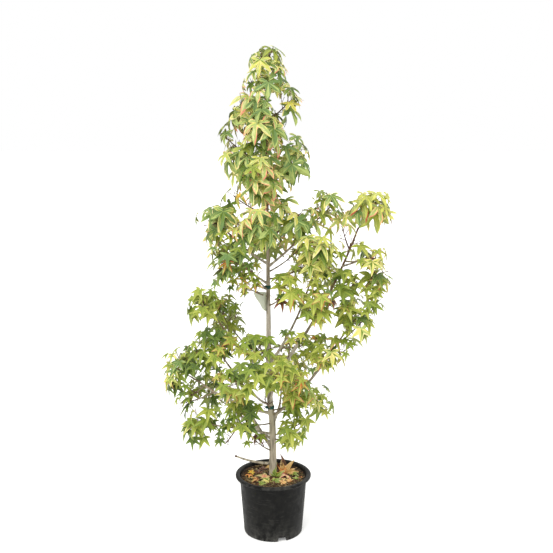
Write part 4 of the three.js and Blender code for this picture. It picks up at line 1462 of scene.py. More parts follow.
def make_stalks(masses):
    """A stalk for each leaf, which swells a little at both ends."""
    rng = np.random.default_rng(SEED + 1)
    materials = [principled(name, colour, roughness=0.5) for name, colour in STALK_TINTS.items()]
    mesh = Mesh()
    for mass in masses:
        for leaf in mass.leaves:
            start = leaf.carrier.curve(leaf.share)[0]
            end = leaf.base[0] - leaf.forward[0] * STALK["short_of_blade"]
            length = np.linalg.norm(end - start)
            control = (start + end) / 2 + UP * STALK["arch"] * length
            control = control - leaf.forward[0] * STALK["draw_back"] * length
            centres = bend(start, control, end, len(STALK["radii"]))
            tint = rng.choice(len(STALK_TINTS), p=STALK["tint_shares"])
            add_tube(mesh, centres, STALK["radii"], STALK["sides"], tint)
    mesh.make("leaf_stalks", materials, nodes_of(masses))


def twig_radii(length, root, tip, rings, rng):
    """A taper with a slight swelling at each bud, and a pointed bud at the end."""
    along = np.linspace(0, length, rings)
    radii = between((root, tip), along / length)
    for place in np.arange(rng.uniform(*BUD["first"]), length, BUD["spacing"]):
        radii = radii * (1 + BUD["swell"] * np.exp(-(((along - place) / BUD["half_length"]) ** 2)))
    radii[-len(BUD["end"]) :] *= BUD["end"]
    return radii


def make_twigs(masses):
    """Stems, side twigs and fine twigs. The stems are browner high in the crown."""
    rng = np.random.default_rng(SEED + 2)
    materials = [principled(name, colour, roughness=0.7) for name, colour in TWIG_TINTS.items()]
    mesh = Mesh()
    for mass in masses:
        upper = mass.middle[2] > VARIEGATED_ABOVE
        for number, twig in enumerate(mass.twigs + mass.fine_twigs):
            form = TWIG_FORMS["stem" if number == 0 else "side" if number < len(mass.twigs) else "fine"]
            root, tip = form["radii"]
            if number > 0:
                tint = rng.choice(form["tints"])
            else:
                tint = np.repeat(form["tints_high" if upper else "tints"], form["rings"] // 2)
                if mass.level is None:
                    root = limbs[mass.on].radius(1.0) + STEM_OVER_TIP
            centres = twig.curve(np.linspace(0, 1, form["rings"]))
            length = np.linalg.norm(centres[-1] - centres[0])
            radii = twig_radii(length, root, tip, form["rings"], rng)
            add_tube(mesh, centres, radii, form["sides"], tint)
    mesh.make("twigs", materials, nodes_of(masses))


# ---------------------------------------------------------------- bark

# From the pale foot of the trunk to the red-brown of the young wood.
BARK_TINTS = (
    (178, 168, 147),
    (176, 167, 149),
    (172, 163, 148),
    (154, 141, 122),
    (130, 108, 86),
    (112, 82, 62),
    (98, 64, 48),
)
LAST_BARK = len(BARK_TINTS) - 1
STREAK_SHADES = (0.72, 1.1)
# The relief's height, and the shares of it that swellings and fissures take.
RELIEF = {"height": 0.42, "swelling": 0.5, "fissure": 0.8}
FISSURE = {
    "count": 7,
    "width": 0.05,
    "turn_share": 0.5,
    "wander": 0.16,
    "length": (24, 60),
    "presence": 1.6,
}
TRUNK_BARK = {
    "rings": 380,
    "sides": 44,
    "full_relief_radius": 12,
    "least_relief": 0.25,
    "collar": 0.3,
    "collar_length": 1.7,
    "collar_spread": 0.5,
    "heads_at": 0.12,
    "scars_at": np.arange(60, 1500, 83),
    "scar_scatter": 20,
    "scar": ((0.9, 6, 0.35), (-0.7, 2.5, 0.16)),  # ridge and groove: height, length and spread
    "thickness": (1.3, 0.2),
    "thins_over": (700, 1500),
    "tints_from": 120,
    "tints_over": 1500,
    "tint_range": 6.5,
    "tint_scatter": 60,
}
BOUGH_BARK = {
    "rings": 64,
    "sides": 16,
    "full_relief_radius": 6,
    "first_scar": (30, 60),
    "scar_spacing": 46,
    "scar": 0.16,
    "scar_length": 4,
    "scar_spread": 0.9,
    "collar": 0.42,
    "collar_length": 7,
    "carrier_at": 0.3,
    "stouter": 1.12,
    "thickness": 0.9,
    "redder_along": (0.15, 1),
    "redder_by": 2.6,
    "redder_levels": (600, 1400),
    "redder_high_by": 2.2,
    "tint_scatter": 0.35,
}
SNAG = {"broken_from": 0.96, "broken_tint": 5, "thickness": 0.7, "stub": 1.5, "stub_from": (0.95, 0.98)}


def bark_materials():
    """Each of the bark's tints, with darker and lighter streaks along the limb."""
    materials = []
    for number, tint in enumerate(BARK_TINTS):
        material = principled(f"bark_{number}", tint, roughness=0.8, specular=0.3)
        nodes = Nodes(material)
        streaks = nodes.noise(90, detail=5, stretch=(1, 1, 0.14))
        darker, lighter = [tuple(int(part * shade) for part in tint) for shade in STREAK_SHADES]
        nodes.colour(nodes.ramp(streaks, [(0.34, darker), (0.5, tint), (0.7, lighter)]))
        nodes.bump(nodes.noise(320, stretch=(1, 1, 0.3)), distance=0.0006, strength=0.6)
        materials.append(material)
    return materials


def waves(along, turns, rng, count, lengths, most_folds):
    """A sum of waves that runs along a limb and closes round it: about -1 to 1."""
    total = np.zeros((len(along), len(turns)))
    for _ in range(count):
        pitch = FULL_TURN / between(lengths, rng.random())
        folds = rng.integers(0, most_folds + 1)
        total += np.sin(pitch * along[:, None] + folds * turns + rng.uniform(0, FULL_TURN))
    return total / math.sqrt(count)


def bark_relief(along, turns, rng):
    """Low swellings, and fine fissures that run along the limb, come and go."""
    swellings = waves(along, turns, rng, count=9, lengths=(26, 160), most_folds=5)
    relief = RELIEF["swelling"] * RELIEF["height"] * swellings
    wander = FISSURE["wander"] * waves(along, turns, rng, count=5, lengths=(90, 300), most_folds=1)
    for _ in range(FISSURE["count"]):
        folds = np.abs(np.sin(FISSURE["turn_share"] * (turns - rng.uniform(0, FULL_TURN)) + wander))
        pulse = np.sin(along / rng.uniform(*FISSURE["length"]) + rng.uniform(0, FULL_TURN))
        present = np.clip(FISSURE["presence"] * pulse, 0, 1)[:, None]
        depth = np.exp(-((folds / FISSURE["width"]) ** 2))
        relief -= RELIEF["fissure"] * RELIEF["height"] * depth * present
    return relief


def nearness(along, turns, place, turn, length, spread):
    """1 at a place on the limb's surface, falling off along it and round it."""
    gap = turn_between(turns, turn)
    return np.exp(-(((along[:, None] - place) / length) ** 2) - (gap / spread) ** 2)


def make_trunk(masses, materials):
    """Level rings, fissures, a collar at each limb that leaves, and older scars between them."""
    form = TRUNK_BARK
    rng = np.random.default_rng(SEED + 3)
    t = np.linspace(0, 1, form["rings"])
    centres = trunk.at(t)
    along = t * trunk.height
    turns = even_turns(form["sides"])
    scale = np.clip(trunk.radius(t) / form["full_relief_radius"], form["least_relief"], 1)
    relief = bark_relief(along, turns, rng) * scale[:, None]
    leaving = [(limbs[name], radii[0]) for name, on, _, _, _, radii in BOUGHS if on == "trunk"]
    for mass in masses:
        if mass.on == "trunk" and mass.level is not None:
            leaving.append((mass.twigs[0], STEM["radii"][0]))
    for limb, radius in leaving:
        way = limb.curve(form["heads_at"]) - limb.curve(0)
        turn = math.atan2(way[1], way[0])
        place = limb.root[2] - TRUNK["foot"][2]
        rise = way[2] / max(1.0, math.hypot(way[0], way[1])) * trunk.radius(place / trunk.height)
        length = form["collar_length"] * radius
        collar = nearness(along, turns, place + rise, turn, length, form["collar_spread"])
        relief += form["collar"] * radius * collar
    scatter = form["scar_scatter"]
    for place in form["scars_at"]:
        turn = rng.uniform(0, FULL_TURN)
        for height, length, spread in form["scar"]:
            middle = place + rng.uniform(-scatter, scatter)
            relief += height * nearness(along, turns, middle, turn, length, spread)
    bark = between(form["thickness"], smooth_step(*form["thins_over"], centres[:, 2]))
    radii = trunk.radius(t)[:, None] + bark[:, None] + relief
    rings = centres[:, None] + level_ways(turns) * radii[..., None]
    patches = waves(along[:-1], turns, rng, count=5, lengths=(60, 200), most_folds=3)
    level = along[:-1, None] + form["tint_scatter"] * patches - form["tints_from"]
    tint = np.clip(level / form["tints_over"] * form["tint_range"], 0, LAST_BARK).astype(int).ravel()
    mesh = Mesh()
    add_rings(mesh, rings, centres[0], centres[-1], [tint, 0, LAST_BARK])
    mesh.make("trunk_bark", materials, ["trunk"])


def make_boughs(materials):
    """Relief as on the trunk, a collar where each bough leaves its carrier, and ring scars."""
    form = BOUGH_BARK
    rng = np.random.default_rng(SEED + 4)
    mesh = Mesh()
    for name, on, level, _, _, radii in BOUGHS:
        limb = limbs[name]
        t = np.linspace(0, 1, form["rings"])
        centres = limb.curve(t)
        length = np.linalg.norm(centres[-1] - centres[0])
        along = t * length
        turns = even_turns(form["sides"])
        scale = limb.radius(t) / form["full_relief_radius"]
        relief = bark_relief(along, turns, rng) * scale[:, None]
        for place in np.arange(rng.uniform(*form["first_scar"]), length, form["scar_spacing"]):
            turn = rng.uniform(0, FULL_TURN)
            scar = nearness(along, turns, place, turn, form["scar_length"], form["scar_spread"])
            relief += form["scar"] * radii[0] * scar
        carrier = limbs[on]
        out = np.linalg.norm((centres - place_at(carrier, level))[:, :2], axis=1)
        out = out - carrier.radius(form["carrier_at"])
        collar = form["collar"] * radii[0] * np.exp(-np.maximum(0, out) / form["collar_length"])
        profile = limb.radius(t)[:, None] * form["stouter"] + form["thickness"] + relief + collar[:, None]
        redder = smooth_step(*form["redder_along"], t) * form["redder_by"]
        redder_high = smooth_step(*form["redder_levels"], centres[:, 2]) * form["redder_high_by"]
        scatter = rng.normal(0, form["tint_scatter"], form["rings"])
        tint = np.clip(1 + (redder + redder_high) + scatter, 0, LAST_BARK).astype(int)
        if name == "snag":
            tint = np.where(t > SNAG["broken_from"], SNAG["broken_tint"], 0)
            stub = SNAG["stub"] * smooth_step(*SNAG["stub_from"], t)
            profile = profile + SNAG["thickness"] + stub[:, None]
        add_tube(mesh, centres, profile, form["sides"], tint)
    mesh.make("boughs_bark", materials, [f"bough_{row[0]}" for row in BOUGHS])


# ---------------------------------------------------------------- pot

# Profiles of (radius, level): the rolled rim from its lower outer edge, and the foot ring.
RIM = [
    (151.6, 255.6),
    (153, 257.4),
    (157, 258),
    (164, 257.4),
    (167.6, 257.8),
    (169.4, 259.4),
    (170.2, 262),
    (170.2, 264.6),
    (169.2, 267.2),
    (167, 269.2),
    (164, 270),
    (159, 270.1),
    (154.8, 269.6),
    (152, 268.4),
    (150.2, 266),
    (149, 261),
]
FOOT_RING = [
    (POT["foot_radius"] - POT["foot_width"], 18),
    (126.6, 1.2),
    (127.6, 0),
    (129.2, 0),
    (131.4, 1.4),
    (132.1, 4.6),
]
WALL_LEVELS = (9, 14, 19, 24, 29, 34, 60, 100, 140, 180, 220, 248)
NOTCH_FADE = 34  # the notches don't change the pot above this level
NOTCH_INSIDE = 0.06  # how far they raise the foot ring's upper inner edge
# The wall's slight unevenness: how much, its waves round the pot and where they start, and the
# levels over which it grows.
UNEVEN = ((0.35, 2, 0.8), (0.25, 3, 2.1))
UNEVEN_OVER = (30, 250)
INSIDE_LEVELS = (255, 240, 120)
CORNER = 2  # inside, where the wall meets the floor
PAD_BEVEL = 1.5


def wall_at(level):
    """The outer radius of the wall at a level."""
    return POT["foot_radius"] + (POT["top_radius"] - POT["foot_radius"]) * level / POT["height"]


def notch_turns():
    return POT["notch_turn"] + even_turns(POT["notches"])


def notch_rise(turns):
    """How far the foot ring's lower edge is raised at each turn."""
    gap = turn_between(turns[:, None], notch_turns()).min(1)
    half_top, half_foot = POT["notch_top_width"] / 2, POT["notch_foot_width"] / 2
    slope = np.clip((half_foot - gap * POT["foot_radius"]) / (half_foot - half_top), 0, 1)
    return POT["notch_height"] * slope


def pot_material():
    """Black plastic, dusty at its foot and lightened on its rim as a painted highlight in the dust's grey,
    with patches and faint level scratches.
    """
    material = principled("pot_plastic", (18, 18, 17), roughness=0.5, specular=0.11)
    nodes = Nodes(material)
    blacks = [(0.3, (9, 9, 9)), (0.55, (16, 16, 15)), (0.75, (32, 31, 29))]
    mottled = nodes.ramp(nodes.noise(46, detail=6), blacks)
    # Dust is thickest at the foot. The band from 0.25 m up, on the rim, is a painted highlight in the same
    # grey.
    dust_and_rim_highlight = [(0.0, 0.9), (0.02, 0.5), (0.06, 0.2), (0.12, 0.06), (0.25, 0.06), (0.262, 0.42)]
    dust_and_rim_highlight_by_height = nodes.ramp(nodes.height(), dust_and_rim_highlight)
    patches = nodes.noise(30, detail=8, stretch=(1, 1, 0.7), roughness=0.7)
    patches = nodes.ramp(patches, [(0.42, 0), (0.66, 1)])
    # The mottled black turns grey where the foot dust and the painted rim highlight lie, in patches.
    dusted_and_highlit = nodes.mix(nodes.mix(dust_and_rim_highlight_by_height, (0, 0, 0), patches), mottled, (94, 93, 88))
    scratches = nodes.noise(60, detail=3, stretch=(0.22, 0.22, 3.4), roughness=0.6)
    scratches = nodes.ramp(scratches, [(0.62, 0), (0.68, 0.5)])
    nodes.colour(nodes.mix(scratches, dusted_and_highlit, (58, 57, 54)))
    nodes.gloss(nodes.ramp(patches, [(0, 0.42), (1, 0.72)]))
    nodes.bump(nodes.noise(260), distance=0.0005, strength=0.5)
    return material


def pot_turns():
    """Even turns round the pot, and one more at each corner of each notch."""
    middles = np.repeat(notch_turns(), 2)
    edges = np.array([-1, 1] * POT["notches"])
    turns = [even_turns(POT["segments"])]
    for width in ("notch_top_width", "notch_foot_width"):
        turns.append(middles + edges * (POT[width] / 2 / POT["foot_radius"]))
    return np.unique(np.round(np.concatenate(turns) % FULL_TURN, 6))


def make_pot():
    """One closed surface: pad, base, foot ring with its notches, wall, rolled rim and inside."""
    turns = pot_turns()
    lift, floor = POT["base_lift"], POT["base_lift"] + POT["base_thickness"]
    pad = POT["pad_radius"]
    underside = [(pad - PAD_BEVEL, 0), (pad, PAD_BEVEL), (pad, lift - 1), (pad + 1, lift)]
    underside.append((FOOT_RING[0][0] - 1, lift))
    wall = [(wall_at(level), level) for level in WALL_LEVELS]
    inside = [(wall_at(level) - POT["wall"], level) for level in (*INSIDE_LEVELS, floor + CORNER)]
    inside.append((wall_at(floor) - POT["wall"] - CORNER, floor))
    profile = np.array(underside + FOOT_RING + wall + RIM + inside)
    radii, levels = profile.T
    off_pad = (radii > pad + 2)[:, None]
    fade = np.clip(1 - levels / NOTCH_FADE, 0, 1)[:, None] * off_pad
    fade[: len(underside)] = 0
    fade[len(underside)] = NOTCH_INSIDE
    heights = levels[:, None] + notch_rise(turns) * fade
    uneven = sum(size * np.sin(folds * turns + start) for size, folds, start in UNEVEN)
    around = radii[:, None] + uneven * smooth_step(*UNEVEN_OVER, levels)[:, None] * off_pad
    rings = level_ways(turns) * around[..., None] + UP * heights[..., None]
    mesh = Mesh()
    add_rings(mesh, rings, [0, 0, 0], [0, 0, floor], [0, 0, 0])
    mesh.make("pot_shell", [pot_material()], ["pot"], sharp=40)


# ---------------------------------------------------------------- soil and what lies on it

SOIL_TINTS = {
    "soil_dark": (40, 31, 22),
    "chip_dark": (52, 40, 27),
    "chip_brown": (78, 61, 41),
    "chip_red": (90, 60, 38),
    "chip_tan": (118, 97, 64),
    "chip_pale": (164, 146, 108),
    "moss": (92, 98, 50),
}
SOIL_RINGS = 72
SOIL_SEGMENTS = 200
SOIL_RING_POWER = 0.8
MIDDLE_SOIL = 72  # the surface falls or rises from here to as far again
BANKED_FROM = (112, 142)
# The surface's waves: their height, their lengths and how many there are.
SOIL_WAVES = ((1.5, (50, 110), 12), (0.9, (14, 30), 26), (0.5, (5, 9), 40))
SOIL_SUNK = 1.5
# Bark chips and dry strands. The tint shares go by the numbers of SOIL_TINTS.
CHIPS = {
    "count": 1500,
    "most_radius": 137,
    "off_trunk": 24,
    "tilt": (-0.35, 0.35),
    "length": (2.8, 6),
    "longer": (1, 1.6, 2.6),
    "longer_shares": (0.5, 0.34, 0.16),
    "width_share": (0.3, 0.7),
    "thickness": (1, 2.6),
    "lift": (0.3, 1.6),
    "tint_shares": (0.0, 0.28, 0.31, 0.14, 0.15, 0.08, 0.04),
    "corners": 7,
    "corner_scatter": 0.3,
    "reach": (0.8, 1.15),
    "lower_share": 0.9,
    "upper_share": 0.72,
    "upper_rise": (0.3, 0.7),
    "top_rise": 0.6,
}
STRANDS = {
    "count": 640,
    "most_radius": 138,
    "off_trunk": 26,
    "tilt": (-0.1, 0.3),
    "length": (9, 34),
    "curve": (-0.3, 0.3),
    "arch": (0, 4),
    "lift": (1.2, 2.6),
    "least_lift": 0.8,
    "furthest": 142,
    "rings": 6,
    "radius": (0.45, 1.0),
    "sides": 5,
    "tints": (1, 2, 3, 4, 5),
    "tint_shares": (0.14, 0.24, 0.14, 0.26, 0.22),
}


def plain_waves(points, rng, lengths, count):
    """A rough surface's height, from about -1 to 1, at places on the level."""
    ways = rng.uniform(0, FULL_TURN, count)
    pitch = FULL_TURN / rng.uniform(*lengths, count)
    shift = rng.uniform(0, FULL_TURN, count)
    ahead = np.stack([np.cos(ways), np.sin(ways)]) * pitch
    return np.sin(points[..., :2] @ ahead + shift).sum(-1) / math.sqrt(count)


def soil_level(points):
    """The soil's surface: it rises to the trunk and banks up at the wall, with clods and crumbs."""
    rng = np.random.default_rng(SEED + 5)
    radius = np.hypot(points[..., 0], points[..., 1])
    outward = np.clip((radius - MIDDLE_SOIL) / MIDDLE_SOIL, 0, 1)
    level = between((SOIL["middle_level"], SOIL["edge_level"]), outward)
    level = level + SOIL["bank"] * smooth_step(*BANKED_FROM, radius)
    for height, lengths, count in SOIL_WAVES:
        level = level + height * plain_waves(points, rng, lengths, count)
    return level - SOIL_SUNK


def soil_materials():
    """Plain tints for what lies on the soil, and a crumbly one for the soil itself."""
    materials = [principled(name, tint, roughness=0.92, specular=0.2) for name, tint in SOIL_TINTS.items()]
    nodes = Nodes(materials[0])
    crumbs = nodes.noise(260, detail=8, roughness=0.7)
    nodes.colour(nodes.ramp(crumbs, [(0.34, (24, 18, 12)), (0.5, (44, 34, 24)), (0.66, (82, 66, 46))]))
    nodes.bump(nodes.noise(420, detail=6), distance=0.002, strength=0.9)
    return materials


def soil_edge(level):
    """The radius of the soil's side at a level."""
    return wall_at(level) - POT["wall"] - SOIL["wall_gap"]


def add_soil_body(mesh):
    """The soil, whose sides follow the inside of the pot's wall down to its floor."""
    bottom = POT["base_lift"] + POT["base_thickness"] + SOIL["floor_gap"]
    edge = soil_edge(SOIL["edge_level"])
    radii = edge * (np.arange(1, SOIL_RINGS + 1) / SOIL_RINGS) ** SOIL_RING_POWER
    surface = radii[::-1, None, None] * level_ways(even_turns(SOIL_SEGMENTS))
    foot = surface[:1] * soil_edge(bottom) / edge
    foot[..., 2] = bottom
    surface[..., 2] = soil_level(surface)
    middle = np.array([0.0, 0.0, 0.0])
    middle[2] = soil_level(middle)
    add_rings(mesh, np.vstack([foot, surface]), [0, 0, bottom], middle, [0, 0, 0])


def add_chip(mesh, place, ahead, size, rng, tint):
    """A flake of bark: an uneven slab with a smaller, higher upper face."""
    length, width, thickness = size
    corners = CHIPS["corners"]
    scatter = CHIPS["corner_scatter"]
    turns = FULL_TURN * (np.arange(corners) + rng.uniform(-scatter, scatter, corners)) / corners
    side = unit(np.cross(UP, ahead))
    over = np.cross(ahead, side)
    reach = rng.uniform(*CHIPS["reach"], corners)
    outline = ahead * (length * np.cos(turns) * reach)[:, None]
    outline = outline + side * (width * np.sin(turns) * reach)[:, None]
    lower = outline * CHIPS["lower_share"] - over * thickness / 2
    rise = rng.uniform(*CHIPS["upper_rise"], (corners, 1))
    upper = outline * CHIPS["upper_share"] + over * thickness * rise
    rings = place + np.stack([lower, outline, upper])
    bottom, top = place - over * thickness / 2, place + over * thickness * CHIPS["top_rise"]
    add_rings(mesh, rings, bottom, top, [tint] * 3)


def soil_places(rng, rule):
    """Places on the soil for chips or strands, clear of the trunk."""
    tries = rule["count"] * 2
    radius = rule["most_radius"] * np.sqrt(rng.random(tries))
    places = level_ways(rng.uniform(0, FULL_TURN, tries)) * radius[:, None]
    places[:, 2] = soil_level(places)
    clear = np.hypot(*(places - TRUNK["foot"])[:, :2].T) > rule["off_trunk"]
    return places[clear][: rule["count"]]


def add_chips(mesh, rng):
    for place in soil_places(rng, CHIPS):
        turn = rng.uniform(0, FULL_TURN)
        ahead = unit(np.array([math.cos(turn), math.sin(turn), rng.uniform(*CHIPS["tilt"])]))
        length = rng.uniform(*CHIPS["length"]) * rng.choice(CHIPS["longer"], p=CHIPS["longer_shares"])
        size = (length, length * rng.uniform(*CHIPS["width_share"]), rng.uniform(*CHIPS["thickness"]))
        lifted = place + UP * rng.uniform(*CHIPS["lift"])
        tint = rng.choice(len(SOIL_TINTS), p=CHIPS["tint_shares"])
        add_chip(mesh, lifted, ahead, size, rng, tint)


def add_strands(mesh, rng):
    for place in soil_places(rng, STRANDS):
        turn = rng.uniform(0, FULL_TURN)
        length = rng.uniform(*STRANDS["length"])
        ahead = np.array([math.cos(turn), math.sin(turn), rng.uniform(*STRANDS["tilt"])]) * length / 2
        side = np.array([-ahead[1], ahead[0], 0]) * rng.uniform(*STRANDS["curve"])
        centre = place + UP * rng.uniform(*STRANDS["lift"])
        control = centre + side + UP * rng.uniform(*STRANDS["arch"])
        strand = bend(centre - ahead, control, centre + ahead, STRANDS["rings"])
        if np.hypot(*strand[:, :2].T).max() < STRANDS["furthest"]:
            strand[:, 2] = np.maximum(strand[:, 2], soil_level(strand) + STRANDS["least_lift"])
            radius = rng.uniform(*STRANDS["radius"])
            tint = rng.choice(STRANDS["tints"], p=STRANDS["tint_shares"])
            add_tube(mesh, strand, radius, STRANDS["sides"], tint)


def make_soil():
    rng = np.random.default_rng(SEED + 6)
    materials = soil_materials()
    body = Mesh()
    add_soil_body(body)
    body.make("soil_body", materials[:1], ["soil"])
    mulch = Mesh()
    add_chips(mulch, rng)
    add_strands(mulch, rng)
    mulch.make("soil_mulch", materials, ["soil"])


# Fallen leaves: pattern, base, the way of the midrib, the way that the face looks, and the length.
FALLEN = [
    ("tan", (54, 36, 254), (0.5, 0.3, 0.8), (-0.35, -1, 0.45), 90),
    ("orange", (46, 26, 255), (-0.4, 0.1, 0.6), (0.3, -1, 0.3), 50),
    ("brown", (46, 62, 254), (0.05, 0.3, 0.9), (0.5, -1, 0.1), 74),
    ("tan", (70, 30, 256), (0.9, -0.1, 0.12), (0, -0.6, 1), 60),
    ("pink", (58, 8, 256), (0.3, -0.9, 0.02), (0.5, -0.3, 1), 66),
    ("faded_green", (10, -4, 254), (-0.05, 0.12, 1), (-0.5, -1, 0.1), 58),
    ("faded_green", (84, 22, 254), (0.6, -0.5, 0.1), (0, -0.2, 1), 50),
    ("faded_green", (0, -60, 255), (0.8, -0.45, 0.05), (0, -0.35, 1), 58),
    ("cream_green", (-22, -54, 255), (-0.9, -0.35, 0.05), (0, -0.3, 1), 54),
    ("rose_pale", (-34, -24, 255), (-0.6, 0.2, 0.3), (0.2, -0.6, 1), 52),
    ("tan_brown", (40, -76, 256), (0.9, 0.2, 0.1), (0, -0.4, 1), 48),
    ("tan_brown", (76, -60, 256), (-0.7, 0.4, 0.15), (0.2, -0.5, 1), 44),
    ("tan_brown", (-72, -40, 255), (-0.5, -0.6, 0.15), (0.1, -0.5, 1), 46),
    ("brown", (-66, 30, 255), (-0.7, 0.5, 0.25), (0.2, -0.6, 1), 48),
    ("faded_green", (-56, -88, 257), (0.9, 0.1, 0.1), (0, -0.4, 1), 38),
    ("tan", (34, -40, 254), (0.7, -0.4, 0.1), (0.3, -0.3, 1), 44),
    ("faded_green", (100, -34, 254), (0.7, 0.3, 0.1), (0, -0.3, 1), 38),
    ("orange", (124, -24, 254), (0.5, 0.5, 0.05), (0, -0.2, 1), 32),
    ("orange", (-108, 8, 256), (-0.1, -0.8, 0.1), (0.1, -0.35, 1), 34),
    ("gold", (-100, 28, 257), (0.3, 0.7, 0.3), (0.1, -0.6, 1), 36),
    ("brown", (-52, 74, 254), (0.8, 0.3, 0.2), (0, -0.3, 1), 44),
    ("tan", (-10, 100, 253), (-0.6, 0.5, 0.1), (0, 0.1, 1), 50),
    ("brown", (84, 84, 253), (0.3, 0.6, 0.1), (0, 0.1, 1), 44),
]


LYING = {"droop": 0.25, "curl": (0.2, 1.0), "fold": (0.4, 0.9), "ripple": 0.09, "width": 0.15}
LYING_STALK = {
    "length": 0.4,
    "rise": (-2, 4),
    "least_lift": 1,
    "arch": 3,
    "radius": 0.8,
    "rings": 6,
    "sides": 5,
}


def lying_leaf(base, way, face, length):
    """A fallen leaf, in the form that the blades are drawn from."""
    forward = unit(np.array(way, float))
    face = np.array(face, float)
    normal = unit(face - forward * (face @ forward))
    return Leaves(
        base=np.array([base], float),
        forward=forward[None],
        across=np.cross(normal, forward)[None],
        normal=normal[None],
        length=np.array([length], float),
        droop=np.array([LYING["droop"]]),
    )


def make_litter():
    rng = np.random.default_rng(SEED + 7)
    mesh = Mesh()
    for pattern, base, way, face, length in FALLEN:
        leaf = lying_leaf(base, way, face, length)
        shape = leaf_shape(leaf.base[0], rng)
        for value in ("curl", "fold"):
            shape[value] = rng.uniform(*LYING[value])
        for value in ("ripple", "width"):
            shape[value] = LYING[value]
        add_blade(mesh, leaf, shape, pattern, rng)
        back = leaf.base[0] - leaf.forward[0] * length * LYING_STALK["length"]
        stalk_end = back + UP * rng.uniform(*LYING_STALK["rise"])
        stalk_end[2] = max(stalk_end[2], soil_level(stalk_end) + LYING_STALK["least_lift"])
        middle = (leaf.base[0] + stalk_end) / 2 + UP * LYING_STALK["arch"]
        centres = bend(stalk_end, middle, leaf.base[0], LYING_STALK["rings"])
        add_tube(mesh, centres, LYING_STALK["radius"], LYING_STALK["sides"], TINT_NAMES.index("rust"))
    mesh.make("fallen_leaves", leaf_materials(), ["soil"])


# ---------------------------------------------------------------- ties and label


def add_lathe(mesh, centre, profile, count, tint):
    """A closed ring of that profile of (radius, level) round an upright line."""
    radii, levels = np.array(profile).T
    rings = level_ways(even_turns(count)) * radii[:, None, None] + UP * levels[:, None, None]
    quads = ring_numbers(len(profile) + 1, count) % (len(profile) * count)
    mesh.add((centre + rings).reshape(-1, 3), [quads], [tint])


def tie_material(name):
    material = principled(f"{name}_band", (30, 72, 66), roughness=0.6, specular=0.25)
    nodes = Nodes(material)
    greens = [(0.35, (18, 48, 44)), (0.55, (32, 78, 72)), (0.75, (58, 108, 98))]
    nodes.colour(nodes.ramp(nodes.noise(180, stretch=(1, 1, 4)), greens))
    nodes.bump(nodes.noise(500, detail=3, stretch=(1, 1, 5)), distance=0.0005, strength=0.7)
    return material


def make_ties():
    """A flat band drawn round the trunk, its edges rolled, with a knot and two short ends."""
    half = TIE["height"] / 2
    for name, level in TIES.items():
        along = along_at(trunk, level)
        centre = trunk.at(along)
        inner = trunk.radius(along) + TIE["inner_gap"]
        outside = zip(inner + TIE["swell"], TIE["swell_at"] * half)
        profile = [(inner, -half + TIE["edge"]), *outside, (inner, half - TIE["edge"])]
        mesh = Mesh()
        add_lathe(mesh, centre, profile, TIE["segments"], 0)
        out, forward, up = TIE["knot"]
        knot = centre + [out - inner, forward, up]
        rise = np.linspace(-1, 1, len(TIE["knot_radii"]))[:, None] * TIE["knot_half_height"]
        add_tube(mesh, knot + UP * rise, TIE["knot_radii"], TIE["knot_sides"], 0)
        for side, way in TIE["ends"]:
            control = knot + TIE["end_bend"] * np.array([1, 1, side])
            centres = bend(knot, control, knot + way + UP * side, TIE["end_rings"])
            add_tube(mesh, centres, np.linspace(*TIE["end_radii"], TIE["end_rings"]), TIE["end_sides"], 0)
        mesh.make(f"{name}_wound", [tie_material(name)], [name])


def rounding(past):
    """The share of the width that is left at places past the start of a round end."""
    return np.sqrt(np.clip(1 - np.clip(past, 0, 1) ** 2, LABEL["round_least"], 1))


def label_face(side):
    """Places over one half of the folded tag, its outer lower corner cut away and rounded."""
    down = np.linspace(0, 1, LABEL["rows"])[:, None]
    out = np.linspace(0, 1, LABEL["columns"])[None]
    narrower = 1 - LABEL["narrowing"][side] * smooth_step(*LABEL["narrows_over"], down)
    width = LABEL["width_shares"][side] * LABEL["width"] * narrower
    end, end_length = LABEL["round_end"]
    start, start_length = LABEL["round_start"]
    width = width * rounding((down - end) / end_length) * rounding((start - down) / start_length)
    away = out * width
    fold = LABEL["fold"] * side * (1 + LABEL["opening"] * out)
    wave = LABEL["wave"] * out * np.sin(LABEL["wave_turns"] * down)
    level = LABEL["level"] - LABEL["inset"] - down * (LABEL["height"] - 2 * LABEL["inset"]) + wave
    curve = LABEL["bulge"] * np.sin(math.pi * out) * side
    face = np.broadcast_arrays(-away * np.cos(fold), away * np.sin(fold) + curve, level)
    return np.stack(face, -1)


def label_material():
    material = principled("label_film", (240, 242, 236), roughness=0.42, specular=0.4)
    nodes = Nodes(material)
    film = nodes.noise(22, stretch=(1, 1, 0.5))
    nodes.colour(nodes.ramp(film, [(0.3, (186, 190, 170)), (0.7, (212, 215, 196))]))
    return material


